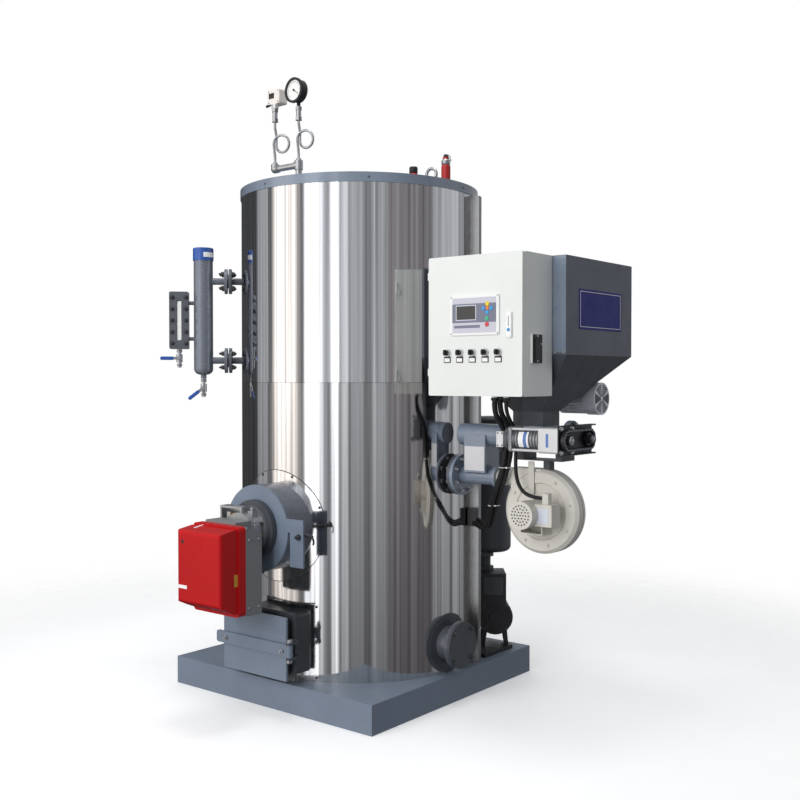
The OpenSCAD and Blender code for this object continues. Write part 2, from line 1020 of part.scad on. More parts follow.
module burner_hood() {
    lip_front = housing_front + hood_lip_l;
    color("firebrick") {
        translate([0, -housing_front, housing_z + burner_h / 2])
            front_plate(burner_w, burner_h, hood_r, hood_lip_l);
        intersection() {
            translate([0, -lip_front, housing_z])
                side_extrude(burner_w - 2 * hood_inset)
                    polygon(rounded([
                        [cut, hood_inset], [lip_front - hood_front, hood_foot_up],
                        [lip_front - hood_front, hood_foot_up + hood_front_h], [cut, burner_h - hood_inset]
                    ], hood_r, 8));
            translate([0, -hood_front, housing_z])
                linear_extrude(burner_h)
                    translate([0, hood_l / 2 + cut])
                        round_rect(burner_w - 2 * hood_inset, hood_l + 2 * cut, hood_r);
            translate([0, -hood_front, housing_z])
                block(burner_w, 2 * (hood_l - hood_lip_l), burner_h);
        }
    }
}

// Ash door

// One ear of the ash door's hinge, seen from above
module ash_ear() {
    linear_extrude(lug_t) {
        polygon([
            [ash_w / 2 - lug_root, -ash_front], [ash_w / 2 + lug_clear, -ash_front - 2 * lug_root],
            [ash_w / 2 + lug_clear, ash_pin_y], [ash_pin_x + ash_eye_d / 2, ash_pin_y],
            [ash_pin_x + ash_eye_d / 2, -ash_front - lug_root], [ash_w / 2, -ash_front + ash_plate_t],
            [ash_w / 2 - lug_root, -ash_front + ash_plate_t]
        ]);
        translate([ash_pin_x, ash_pin_y])
            circle(d = ash_eye_d);
    }
}

module ash_frame() {
    ear_up = strap_h / 2 + lug_gap;
    color("dimgray") {
        translate([0, -ash_front + ash_plate_t, ash_z])
            difference() {
                front_plate(ash_w, ash_flange_h, ash_r, ash_plate_t);
                translate([0, cut, 0])
                    front_plate(neck_w - 2 * neck_t, neck_h - 2 * neck_t, ash_r / 2, ash_plate_t + 2 * cut);
            }
        off_shell()
            translate([0, 0, ash_z])
                difference() {
                    front_plate(neck_w, neck_h, ash_r, ash_front - ash_plate_t);
                    front_plate(neck_w - 2 * neck_t, neck_h - 2 * neck_t, ash_r / 2, ash_front + cut);
                }
        for (z = [ear_up, -ear_up - lug_t])
            translate([0, 0, ash_z + z])
                ash_ear();
        translate([ash_pin_x, ash_pin_y, ash_z - ear_up - lug_t])
            cylinder(h = 2 * (ear_up + lug_t), d = ash_pin_d);
    }
}

module ash_lining() {
    color("black")
        translate([0, -ash_front - ash_gap, ash_z])
            front_plate(ash_w - 2 * lining_in, ash_door_h - 2 * lining_in, strap_end_r, lining_t);
}

module ash_door() {
    color("slategray") {
        translate([0, -lining_front, ash_z])
            front_plate(ash_w, ash_door_h, ash_r, ash_plate_t);
        difference() {
            union() {
                translate([0, -door_front, ash_z])
                    translate([(ash_pin_x - ash_w / 2 - strap_end) / 2, 0, 0])
                        front_plate(ash_pin_x + ash_w / 2 + strap_end, strap_h, strap_end_r, strap_t);
                translate([ash_pin_x, ash_pin_y, ash_z - strap_h / 2])
                    cylinder(h = strap_h, d = ash_eye_d);
            }
            translate([ash_pin_x, ash_pin_y, ash_z - strap_h / 2 - cut])
                cylinder(h = strap_h + 2 * cut, d = ash_pin_d + 2 * play);
        }
    }
}

// Nozzles and cleanout

module level_frame() {
    rotate([0, 0, level_az])
        children();
}

module shell_nozzles() {
    color("slategray")
        off_shell() {
            union() {
                translate([0, -cleanout_forward, cleanout_z]) {
                    rod_x(cleanout_pipe_d, shell_r + cleanout_out - cleanout_flange_t);
                    translate([shell_r + cleanout_out - 2 * cleanout_flange_t, 0, 0])
                        rod_x(cleanout_d, cleanout_flange_t);
                }
                translate([0, 0, feed_z]) {
                    rod_x(feed_d, shell_r + feed_stub_l);
                    translate([shell_r + feed_stub_l, 0, 0])
                        rod_x(feed_flange_d, feed_flange_t);
                }
                level_frame()
                    for (z = [low_z, high_z])
                        translate([0, 0, z]) {
                            rod_x(arm_d, arm_flange_x - arm_face_t);
                            translate([arm_flange_x - arm_face_t - arm_flange_t, 0, 0])
                                rod_x(arm_flange_d, arm_flange_t);
                            translate([arm_flange_x - arm_face_t - arm_flange_t, 0, 0])
                                rod_x(arm_face_d, arm_face_t + arm_flange_t);
                        }
            }
        }
}

module cleanout_collar() {
    color("dimgray")
        bent_sheet(cleanout_collar_t)
            translate([0, -cleanout_forward, cleanout_z])
                difference() {
                    rod_x(cleanout_collar_d, 2 * shell_r);
                    rod_x(cleanout_pipe_d + 2 * fit, 2 * shell_r + cut);
                }
}

module cleanout_cover() {
    color("slategray")
        translate([shell_r + cleanout_out - cleanout_flange_t, -cleanout_forward, cleanout_z])
            rod_x(cleanout_d, cleanout_flange_t);
}

// Level gauge

module level_column() {
    foot_z = low_z - column_foot_h;
    dome_z = low_z - column_drop;
    head_z = high_z + column_rise;
    dome_w = (column_d - column_neck_d) / 2;
    color("slategray")
        level_frame() {
            translate([column_x, 0, 0])
                rotate_extrude()
                    polygon(concat(
                        [[0, foot_z], [column_neck_d / 2, foot_z]],
                        [for (a = [0 : 15 : 90])
                            [column_neck_d / 2 + dome_w * sin(a), dome_z - column_dome_h * cos(a)]],
                        [[column_d / 2, head_z], [0, head_z]]
                    ));
            for (z = [low_z, high_z])
                translate([arm_flange_x, 0, z]) {
                    rod_x(arm_face_d, arm_face_t + arm_flange_t);
                    translate([arm_face_t, 0, 0])
                        rod_x(arm_flange_d, arm_flange_t);
                    rod_x(arm_d, column_x - arm_flange_x);
                }
            for (i = [0, 1])
                translate([column_x, 0, glass_z + link_up + i * link_gap])
                    rod_x(link_d, glass_x - glass_w / 2 - column_x);
        }
}

module level_cap() {
    color("royalblue")
        level_frame()
            translate([column_x, 0, high_z + column_rise]) {
                cylinder(h = cap_h - cap_chamfer, d = cap_d);
                translate([0, 0, cap_h - cap_chamfer])
                    cylinder(h = cap_chamfer, d1 = cap_d, d2 = cap_d - 2 * cap_chamfer);
            }
}

module glass_frame() {
    color("dimgray")
        level_frame()
            translate([glass_x, glass_t / 2, glass_z + glass_h / 2])
                difference() {
                    front_plate(glass_w, glass_h, glass_r, glass_t);
                    translate([0, cut, 0])
                        front_plate(slot_w, slot_h, slot_w / 4, glass_t + 2 * cut);
                    translate([0, pane_t / 2 + fit - glass_t / 2, 0])
                        front_plate(pane_w, pane_h, slot_w / 4, pane_t + 2 * fit);
                }
}

module level_glass() {
    color("white")
        level_frame()
            translate([glass_x, pane_t / 2, glass_z + glass_h / 2])
                front_plate(pane_w - 2 * fit, pane_h - 2 * fit, slot_w / 4, pane_t);
}

tap_x = [glass_x, column_x];
tap_top = [glass_z, low_z - column_foot_h];

// A quarter-turn tap under a pipe, with its stem towards +Y
module tap(i) {
    translate([tap_x[i], 0, tap_top[i] - tap_tail_h - tap_body_h]) {
        translate([0, 0, -tap_tail_h])
            cylinder(h = 2 * tap_tail_h + tap_body_h, d = tap_tail_d);
        cylinder(h = tap_body_h, d = tap_body_d);
        translate([0, tap_stem_l, tap_body_h / 2])
            rod_front(tap_stem_d, tap_stem_l);
        translate([0, tap_stem_l, tap_body_h / 2])
            rod_front(lever_hub_d, lever_nut_t - play);
    }
}

module drain_valves() {
    color("silver")
        level_frame()
            for (i = [0, 1])
                tap(i);
}

// A lever on tap i, dipped below level
module tap_lever(i, dip) {
    translate([tap_x[i], tap_stem_l - lever_nut_t, tap_top[i] - tap_tail_h - tap_body_h / 2])
        rotate([0, dip, 0])
            difference() {
                union() {
                    rod_front(lever_hub_d, lever_t);
                    translate([0, -lever_t, -lever_w / 2])
                        cube([lever_l, lever_t, lever_w]);
                }
                translate([0, cut, 0])
                    rod_front(tap_stem_d + 2 * play, lever_t + 2 * cut);
            }
}

module glass_lever() {
    color("royalblue")
        level_frame()
            tap_lever(0, 0);
}

module column_lever() {
    color("royalblue")
        level_frame()
            tap_lever(1, column_lever_dip);
}

// Hopper

module hopper_bin() {
    color("dimgray")
        translate([hopper_x, hopper_front, fold_z])
            difference() {
                cube([hopper_w, hopper_l, bin_h]);
                translate([sheet_t, sheet_t, -cut])
                    cube([hopper_w - 2 * sheet_t, hopper_l - 2 * sheet_t, bin_h + 2 * cut]);
            }
}

module hopper_cone() {
    low = [outlet_x - outlet_w / 2, outlet_x + outlet_w / 2, -outlet_l / 2, outlet_l / 2];
    high = [hopper_x, hopper_right, hopper_front, hopper_rear];
    wall = sheet_t * [1, -1, 1, -1];
    neck_z = screw_z + screw_d / 2;
    color("dimgray") {
        translate([0, 0, outlet_z])
            difference() {
                funnel(low, high, cone_h);
                funnel(low + wall, high + wall, cone_h);
            }
        translate([outlet_x, 0, neck_z])
            difference() {
                block(outlet_w, outlet_l, outlet_z - neck_z);
                translate([0, 0, -cut])
                    block(outlet_w - 2 * sheet_t, outlet_l - 2 * sheet_t, outlet_z - neck_z + 2 * cut);
            }
    }
}

module hopper_gussets() {
    gusset_top = mouth_z - gusset_drop;
    color("dimgray")
        off_shell()
            for (side = [-1, 1])
                translate([0, side * gusset_y + gusset_t / 2, 0])
                    rotate([90, 0, 0])
                        linear_extrude(gusset_t)
                            polygon([
                                [shell_r / 2, gusset_top - gusset_h], [shell_r, gusset_top - gusset_h],
                                [hopper_x, gusset_top - gusset_foot_h], [hopper_x, gusset_top],
                                [shell_r / 2, gusset_top]
                            ]);
}

// Feed

module feed_pipework() {
    color("slategray") {
        translate([shell_r + feed_stub_l + feed_flange_t, 0, feed_z])
            rod_x(feed_flange_d, feed_flange_t);
        translate([feed_face, 0, feed_z])
            rod_x(feed_d, feed_end - feed_face);
        translate([feed_end - feed_socket_l, 0, feed_z])
            rod_x(feed_socket_d, feed_socket_l);
        translate([chute_x, -chute_w / 2, feed_z + feed_d / 4])
            cube([chute_w, chute_w, screw_rise - feed_d / 4]);
        translate([screw_start, 0, screw_z])
            rod_x(screw_d, drive_x - screw_start);
        translate([drive_x - screw_flange_in, 0, screw_z])
            rod_x(screw_flange_d, feed_flange_t);
        translate([outlet_x, 0, screw_z])
            block(outlet_w, outlet_l, screw_d / 2);
    }
}

motor_start = drive_x - gearbox_l - motor_l;

module gear_motor() {
    fin = motor_l / (2 * motor_fins);
    color("black") {
        translate([motor_start, motor_y, motor_z])
            rotate([0, 90, 0])
                rotate_extrude()
                    polygon(concat(
                        [[0, 0]],
                        [for (i = [0 : motor_fins - 1], k = [0 : 3])
                            [motor_fin_d / 2 - (k > 1 ? motor_groove : 0), fin * (2 * i + [0, 1, 1, 2][k])]],
                        [[0, motor_l]]
                    ));
        translate([motor_start - motor_cap_l, motor_y, motor_z]) {
            rod_x(motor_fin_d, motor_cap_l);
            translate([motor_cap_l - motor_cap_t, 0, 0])
                rotate([0, 90, 0])
                    linear_extrude(motor_cap_t)
                        round_rect(motor_s, motor_s, motor_r);
        }
        for (sy = [-1, 1], sz = [-1, 1])
            translate([motor_start, motor_y, motor_z])
                translate((motor_s / 2 - rod_in) * [0, sy, sz])
                    rod_x(rod_d, motor_l);
    }
}

module gear_housings() {
    color("silver") {
        translate([drive_x - gearbox_l, motor_y, motor_z])
            rotate([0, 90, 0])
                linear_extrude(gearbox_l)
                    round_rect(motor_s, motor_s, motor_r);
        translate([motor_start - motor_cap_t - terminal_w, motor_y, motor_z])
            difference() {
                translate([0, -motor_fin_d / 2 - terminal_l / 2, -terminal_h / 2])
                    cube([terminal_w - motor_cap_t, terminal_l, terminal_h]);
                translate([-cut, 0, 0])
                    rod_x(motor_fin_d + 2 * fit, terminal_w + 2 * cut);
            }
    }
}

module drive_plate() {
    front = motor_y - motor_s / 2;
    color("black")
        translate([drive_x, front, motor_z - drive_h / 2]) {
            cube([drive_t, drive_over - front, drive_h]);
            for (z = [0, drive_h - drive_t])
                translate([0, motor_s, z])
                    cube([drive_lip, drive_over - front - motor_s, drive_t]);
        }
}

// A toothed wheel on its hub, facing +X
module chain_wheel(hub_l) {
    rotate([0, 90, 0]) {
        cylinder(h = hub_l, d = wheel_hub_d);
        translate([0, 0, wheel_gap + (chain_w - wheel_t) / 2])
            linear_extrude(wheel_t)
                difference() {
                    circle(d = wheel_tip_d);
                    for (k = [0 : wheel_teeth - 1])
                        rotate(360 * k / wheel_teeth)
                            translate([wheel_tip_d / 2, 0])
                                circle(d = wheel_tip_d - wheel_root_d, $fn = 24);
                }
    }
}

module chain_drive() {
    out = chain_in_d + 2 * chain_t;
    color("black")
        translate([drive_x + drive_t, 0, motor_z]) {
            for (y = [motor_y, 0])
                translate([0, y, 0])
                    chain_wheel(wheel_hub_l);
            translate([wheel_gap, 0, 0])
                rotate([0, 90, 0])
                    linear_extrude(chain_w)
                        difference() {
                            union() {
                                for (y = [motor_y, 0])
                                    translate([0, y])
                                        circle(d = out);
                                translate([-out / 2, motor_y])
                                    square([out, -motor_y]);
                            }
                            for (y = [motor_y, 0])
                                translate([0, y])
                                    circle(d = chain_in_d);
                            translate([-chain_in_d / 2, motor_y])
                                square([chain_in_d, -motor_y]);
                        }
        }
}

module stirrer_motor() {
    stir_x = hopper_right - stir_end - stir_l;
    stir_z = fold_z - stir_drop;
    slope = cone_h / (hopper_rear - outlet_l / 2);
    seat_y = [stir_y - stir_mount_l / 2, stir_y + stir_mount_l / 2];
    seat = [for (y = seat_y) [y, fold_z - slope * (hopper_rear - y) - fit]];
    color("gray") {
        translate([stir_x, stir_y, stir_z]) {
            rod_x(stir_d - 2 * stir_fin_h, stir_l);
            rod_x(stir_d, stir_bell_l);
            translate([stir_l - stir_cowl_l, 0, 0])
                rod_x(stir_cowl_d, stir_cowl_l);
            for (k = [0 : stir_fins - 1])
                rotate([360 * k / stir_fins, 0, 0])
                    translate([0, -stir_fin_t / 2, stir_d / 2 - 2 * stir_fin_h])
                        cube([stir_l - stir_cowl_l, stir_fin_t, 2 * stir_fin_h]);
        }
        translate([stir_x + stir_bell_l + stir_mount_w, 0, 0])
            side_extrude(stir_mount_w)
                polygon([seat[0], seat[1], [seat[1][0], stir_z], [seat[0][0], stir_z]]);
    }
}

// Blower

module blower_casing() {
    seam_y = volute_w * seam_share;
    color("antiquewhite")
        translate([blower_x, blower_rear, blower_z]) {
            rotate([90, 0, 0])
                rotate_extrude()
                    polygon([
                        [0, 0], [volute_d / 2 - volute_rim, 0], [volute_d / 2, volute_rim],
                        [volute_d / 2, seam_y], [volute_d / 2 - seam_w, seam_y],
                        [volute_d / 2 - seam_w, seam_y + seam_w], [volute_d / 2, seam_y + seam_w],
                        [volute_d / 2, volute_w - volute_rim], [volute_d / 2 - volute_rim, volute_w],
                        [volute_eye_d / 2, volute_w],
                        [volute_eye_d / 2 - volute_step, volute_w - volute_step], [0, volute_w - volute_step]
                    ]);
            translate([-spout_l, -volute_w + volute_step, volute_d / 2 - spout_h])
                cube([spout_l, volute_w - 2 * volute_step, spout_h]);
            translate([feed_end - blower_x, -blower_rear, feed_z - blower_z])
                rod_x(spout_d, blower_x - feed_end - spout_l);
        }
}

module blower_motor() {
    motor_base = blower_front + volute_step;
    color("antiquewhite") {
        translate([blower_x, motor_base, blower_z]) {
            rod_front(blower_motor_d, blower_motor_l);
            translate([0, cowl_l - blower_motor_l, 0])
                rod_front(cowl_d, cowl_l);
            translate([blower_motor_d / 2 - volute_rim, -blower_motor_l / 2 - box_l / 2, -box_h / 2])
                cube([box_w, box_l, box_h]);
            translate([blower_motor_d / 2 + box_gland_in, -blower_motor_l / 2 - box_gland_l / 2, box_h / 2])
                cube([box_gland_w, box_gland_l, box_gland_h]);
            translate([-foot_w / 2, -foot_l, -blower_motor_d / 2 - foot_h]) {
                cube([foot_w, foot_l, foot_t]);
                for (x = [0, foot_w - foot_t])
                    translate([x, 0, 0])
                        cube([foot_t, foot_l, foot_h + blower_motor_d / 4]);
            }
        }
    }
}

module blower_hanger() {
    color("rosybrown") {
        translate([blower_x, 0, hanger_z])
            block(hanger_w, hanger_l, hanger_t);
        difference() {
            for (side = [-1, 1])
                translate([blower_x + side * (hanger_w - hanger_strap_w) / 2, 0, hanger_z])
                    block(hanger_strap_w, hanger_l, screw_z - hanger_z);
            translate([screw_start, 0, screw_z])
                rod_x(screw_d + 2 * fit, drive_x);
        }
        translate([blower_x, 0, blower_z])
            difference() {
                translate([hanger_strap_w / 2 + fit, 0, 0])
                    block(hanger_strap_w, volute_w / 2, hanger_z - blower_z);
                rotate([-90, 0, 0])
                    translate([0, 0, -volute_w])
                        cylinder(h = 2 * volute_w, d = volute_d + 2 * fit);
            }
    }
}

// Cabinet

module cabinet_box() {
    box_l = cab_rear - box_front;
    color("whitesmoke") {
        translate([cab_x, box_front, cab_z])
            difference() {
                cube([cab_w, box_l, cab_h]);
                translate([cab_t, -cut, cab_t])
                    cube([cab_w - 2 * cab_t, box_l - cab_t + cut, cab_h - 2 * cab_t]);
            }
        for (share = [hinge_in_share, 1 - hinge_in_share])
            translate([hinge_x, hinge_y, cab_z + cab_h * share]) {
                cylinder(h = knuckle_l, d = hinge_pin_d, center = true);
                translate([0, 0, -knuckle_l / 2])
                    cylinder(h = knuckle_l * knuckle_share, d = knuckle_d);
                translate([-leaf_t, 0, -knuckle_l / 2])
                    cube([knuckle_d / 2 + leaf_t, leaf_w, knuckle_l * knuckle_share]);
            }
        translate([cab_x + cab_w, box_front + box_l * vent_y_share, cab_z + cab_h * vent_z_share])
            translate([0, -vent_w / 2, -vent_h / 2])
                cube([vent_t, vent_w, vent_h]);
        for (p = [loom_route[0], loom_route[0] + loom_shift, lead_route[0]])
            translate(p)
                cylinder(h = cab_z - p[2] + cab_t / 2, d = gland_nose_d);
    }
}

module cabinet_door() {
    upper_l = knuckle_l * (1 - knuckle_share) - play;
    color("whitesmoke") {
        translate([cab_x + cab_w / 2, cab_front + cab_door_t, cab_z + cab_h / 2])
            front_plate(cab_w, cab_h, cab_r, cab_door_t);
        for (share = [hinge_in_share, 1 - hinge_in_share])
            translate([hinge_x, hinge_y, cab_z + cab_h * share])
                difference() {
                    translate([0, 0, play - knuckle_l * (1 / 2 - knuckle_share)]) {
                        cylinder(h = upper_l, d = knuckle_d);
                        translate([-leaf_t, -leaf_w / 2, 0])
                            cube([knuckle_d / 2 + leaf_t, leaf_w / 2 - cab_gap, upper_l]);
                    }
                    cylinder(h = 2 * knuckle_l, d = hinge_pin_d + 2 * play, center = true);
                }
        translate([cab_x + cab_w * lock_x_share, cab_front, cab_z + cab_h * lock_z_share])
            front_plate(lock_w, lock_h, panel_r, lock_t);
    }
}

module operator_panel() {
    color("lightgray")
        translate([cab_x + cab_w * panel_x_share, cab_front, cab_z + cab_h * panel_z_share])
            difference() {
                front_plate(panel_w, panel_h, panel_r, panel_t);
                translate([panel_w * screen_shift_share, screen_t - panel_t, panel_h * screen_rise_share])
                    front_plate(panel_w * screen_w_share, panel_h * screen_h_share, panel_r, screen_t + cut);
            }
}

module selector_switches() {
    color("black")
        for (i = [0 : selectors - 1])
            translate([
                cab_x + cab_w * selector_x_share + (i - (selectors - 1) / 2) * selector_gap,
                cab_front, cab_z + cab_h * selector_z_share
            ]) {
                rod_front(selector_d, selector_ring_t);
                rod_front(selector_knob_d, selector_ring_t + selector_knob_t);
                translate([0, -selector_ring_t - selector_knob_t, -selector_knob_d / 2])
                    translate([-selector_grip_w / 2, -selector_grip_t, 0])
                        cube([selector_grip_w, selector_grip_t, selector_knob_d]);
            }
}

// Water feed

// The pump's own frame: its front end at the origin, its body towards +Y
module pump_place() {
    translate([pump_x, pump_y, 0])
        rotate([0, 0, pump_turn])
            children();
}

module water_tank() {
    flat = [tank_d / 2 - tank_dome, 0];
    color("dimgray")
        off_shell()
            rotate([0, 0, tank_az]) {
                translate([tank_dist, 0, tank_z])
                    rotate_extrude()
                        polygon(concat(
                            [[0, 0]],
                            [for (a = [0 : 15 : 90]) flat + tank_dome * [sin(a), 1 - cos(a)]],
                            [for (a = [90 : -15 : 0]) flat + [0, tank_h] + tank_dome * [sin(a), cos(a) - 1]],
                            [[0, tank_h]]
                        ));
                for (share = saddle_up_shares)
                    translate([shell_r, -saddle_w / 2, tank_z + tank_h * share])
                        cube([tank_dist - shell_r, saddle_w, saddle_h]);
            }
    color("dimgray")
        pump_place()
            translate([-pump_valve_side, pump_box_l - pump_valve_rear, pump_top]) {
                cylinder(h = tank_z + tank_dome - pump_top, d = pump_valve_d);
                for (z = [0, tank_z - pump_top - pump_valve_nut_h])
                    translate([0, 0, z])
                        cylinder(h = pump_valve_nut_h, d = pump_valve_nut_d, $fn = 6);
            }
}

// A splayed leg of the pump, standing across it
module pump_leg() {
    h = pump_z - deck_z;
    foot = leg_foot_w / 2;
    rotate([90, 0, 0])
        linear_extrude(leg_t)
            difference() {
                polygon([[-foot, 0], [foot, 0], [foot - leg_w, h], [leg_w - foot, h]]);
                polygon([
                    [leg_w - foot, -cut], [foot - leg_w, -cut],
                    [foot - 2 * leg_w, h / 2], [2 * leg_w - foot, h / 2]
                ]);
            }
}

module feed_pump() {
    color("black")
        pump_place() {
            translate([0, pump_l, pump_z])
                rod_front(pump_d, pump_l);
            translate([0, pump_cowl_l, pump_z])
                rod_front(pump_cowl_d, pump_cowl_l);
            translate([-pump_box_side, pump_box_l / 2, pump_z])
                block(pump_box_w, pump_box_l, pump_top - pump_z);
            for (share = [leg_in_share, 1 - leg_in_share])
                translate([0, pump_l * share, deck_z])
                    pump_leg();
        }
    color("black")
        off_shell()
            translate([pump_x + tray_side - tray_w, pump_y - tray_before, deck_z])
                cube([tray_w, tray_l, tray_t]);
}

// Leads

module control_loom_a() {
    color("black")
        swept(loom_route, loom_d, lead_sides, loom_across);
}

module control_loom_b() {
    color("black")
        swept([for (p = loom_route) p + loom_shift], loom_d, lead_sides, loom_across);
}

module blower_lead() {
    color("black")
        swept(lead_route, lead_d, lead_sides, lead_across);
}

base_frame();
base_deck();
boiler_wall();
cladding_lower();
cladding_upper();
top_plate();
top_rim();
cable_trunk();
trunk_gland();
flue_collar();
lifting_eyes();
safety_valves();
gauge_manifold();
gauge_siphons();
pressure_gauge();
pressure_switch();
cladding_trims();
burner_drum();
burner_cover();
burner_ring();
burner_casting();
burner_housing();
burner_hood();
ash_frame();
ash_door();
ash_lining();
shell_nozzles();
cleanout_collar();
cleanout_cover();
level_column();
level_cap();
glass_frame();
level_glass();
drain_valves();
glass_lever();
column_lever();
hopper_bin();
hopper_cone();
hopper_gussets();
feed_pipework();
gear_motor();
gear_housings();
drive_plate();
chain_drive();
stirrer_motor();
blower_casing();
blower_motor();
blower_hanger();
cabinet_box();
cabinet_door();
operator_panel();
selector_switches();
water_tank();
feed_pump();
control_loom_a();
control_loom_b();
blower_lead();
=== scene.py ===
"""Looks of a vertical steam boiler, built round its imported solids.

Lengths are metres in the shared frame, or millimetres where mm(), level() or pump() takes them.
"""
import json
import math

import bmesh
import bpy
from mathutils import Matrix, Vector


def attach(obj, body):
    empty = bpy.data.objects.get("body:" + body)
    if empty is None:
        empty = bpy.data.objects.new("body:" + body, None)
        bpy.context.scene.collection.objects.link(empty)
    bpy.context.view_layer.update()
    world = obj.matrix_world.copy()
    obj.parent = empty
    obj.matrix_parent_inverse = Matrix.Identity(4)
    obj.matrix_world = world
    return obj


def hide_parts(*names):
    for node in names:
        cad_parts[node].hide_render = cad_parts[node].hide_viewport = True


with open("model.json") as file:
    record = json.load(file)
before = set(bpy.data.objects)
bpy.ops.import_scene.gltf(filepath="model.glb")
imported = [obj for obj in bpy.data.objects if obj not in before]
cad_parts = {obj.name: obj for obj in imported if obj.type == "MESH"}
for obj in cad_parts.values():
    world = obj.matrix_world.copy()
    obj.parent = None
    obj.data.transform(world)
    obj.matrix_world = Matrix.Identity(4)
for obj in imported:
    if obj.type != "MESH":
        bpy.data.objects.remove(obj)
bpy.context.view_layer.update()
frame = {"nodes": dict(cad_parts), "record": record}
nodes = frame["nodes"]

MM = 0.001
BOILER, DOOR, ASH = "boiler", "cabinet_door", "ash_door"
X, Y, Z = Vector((1, 0, 0)), Vector((0, 1, 0)), Vector((0, 0, 1))


def mm(*values):
    """A point or size given in millimetres."""
    return Vector(values) * MM


# Camera, at the photograph's place

CAMERA_AT = mm(2917, -3376, 1283)
CAMERA_TURN = math.radians(38.61)
CAMERA_DIP = math.radians(1.21)
CAMERA_LENS = 46.73

camera_data = bpy.data.cameras.new("camera")
camera_data.lens = CAMERA_LENS
camera_data.sensor_width = 36
camera = bpy.data.objects.new("camera", camera_data)
bpy.context.scene.collection.objects.link(camera)
level_way = Vector((-math.sin(CAMERA_TURN), math.cos(CAMERA_TURN), 0)) * math.cos(CAMERA_DIP)
camera.location = CAMERA_AT
camera.rotation_euler = (level_way - Z * math.sin(CAMERA_DIP)).to_track_quat("-Z", "Y").to_euler()
bpy.context.scene.camera = camera

# Materials


class Tree:
    """A node tree with short ways to add and join nodes."""

    def __init__(self, tree):
        self.tree = tree

    def node(self, kind, **settings):
        made = self.tree.nodes.new(kind)
        for key, value in settings.items():
            setattr(made, key, value)
        return made

    def join(self, a, b):
        self.tree.links.new(a, b)

    def math(self, operation, a, b=None):
        made = self.node("ShaderNodeMath", operation=operation)
        for socket, value in zip(made.inputs, (a, b)):
            if isinstance(value, (int, float)):
                socket.default_value = value
            elif value is not None:
                self.join(value, socket)
        return made.outputs[0]

    def ramp(self, value, stops):
        made = self.node("ShaderNodeValToRGB")
        band = made.color_ramp
        while len(band.elements) < len(stops):
            band.elements.new(1.0)
        for element, (place, colour) in zip(band.elements, stops):
            element.position = place
            rgb = colour if isinstance(colour, tuple) else (colour,) * 3
            element.color = (*rgb, 1)
        self.join(value, made.inputs["Fac"])
        return made.outputs["Color"]

    def range(self, value, low, high, start=0.3, end=0.7, **settings):
        """A value between start and end, spread from low to high."""
        made = self.node("ShaderNodeMapRange", **settings)
        for key, number in (("From Min", start), ("From Max", end), ("To Min", low), ("To Max", high)):
            made.inputs[key].default_value = number
        self.join(value, made.inputs["Value"])
        return made.outputs["Result"]

    def mix(self, share, a, colour):
        """A colour socket, going over to one plain colour."""
        made = self.node("ShaderNodeMix", data_type="RGBA")
        self.join(share, made.inputs["Factor"])
        self.join(a, made.inputs["A"])
        made.inputs["B"].default_value = (*colour, 1)
        return made.outputs["Result"]


class Shader(Tree):
    """A principled material, laid out in its object's own coordinates."""

    def __init__(self, name):
        self.material = bpy.data.materials.new(name)
        self.material.use_nodes = True
        super().__init__(self.material.node_tree)
        self.out = self.tree.nodes["Principled BSDF"]
        self.place = self.node("ShaderNodeTexCoord").outputs["Object"]

    def noise(self, scale, detail=3.0, stretch=(1, 1, 1), place=None):
        spread = self.node("ShaderNodeMapping")
        spread.inputs["Scale"].default_value = stretch
        self.join(place or self.place, spread.inputs["Vector"])
        made = self.node("ShaderNodeTexNoise")
        made.inputs["Scale"].default_value = scale
        made.inputs["Detail"].default_value = detail
        self.join(spread.outputs["Vector"], made.inputs["Vector"])
        return made.outputs["Fac"]

    def colour(self, value, stops):
        self.join(self.ramp(value, stops), self.out.inputs["Base Color"])

    def rough(self, value, low, high):
        self.join(self.range(value, low, high), self.out.inputs["Roughness"])

    def bump(self, height, strength, distance):
        made = self.node("ShaderNodeBump")
        made.inputs["Strength"].default_value = strength
        made.inputs["Distance"].default_value = distance
        self.join(height, made.inputs["Height"])
        self.join(made.outputs["Normal"], self.out.inputs["Normal"])

    def set(self, **values):
        """Plain numbers on the shader's own sockets, by their names."""
        for key, value in values.items():
            self.out.inputs[key.replace("_", " ").title()].default_value = value
        return self


def shade(colour, share):
    """A colour made darker or lighter."""
    return tuple(min(1.0, c * share) for c in colour)


def painted(name, colour, rough=0.4, mottle=0.12, grain=220.0, skin=0.12, coat=0.0, metal=0.0, shine=0.5):
    """Paint, plastic or plain metal: cloudy colour, uneven gloss and a fine skin."""
    s = Shader(name)
    cloud = s.noise(scale=5.0, detail=6.0)
    fine = s.noise(scale=grain, detail=2.0)
    tone = s.math("ADD", s.math("MULTIPLY", cloud, 0.75), s.math("MULTIPLY", fine, 0.25))
    s.colour(tone, [(0.32, shade(colour, 1 - mottle)), (0.68, shade(colour, 1 + mottle))])
    s.rough(s.noise(scale=14.0, detail=4.0), rough - 0.07, rough + 0.1)
    s.bump(fine, strength=skin, distance=0.0006)
    s.out.inputs["Specular IOR Level"].default_value = shine
    return s.set(metallic=metal, coat_weight=coat, coat_roughness=0.15).material


def round_shell_axis(s):
    """Angle round the shell's axis, in radians, and height."""
    split = s.node("ShaderNodeSeparateXYZ")
    s.join(s.place, split.inputs["Vector"])
    return s.math("ARCTAN2", split.outputs["Y"], split.outputs["X"]), split.outputs["Z"]


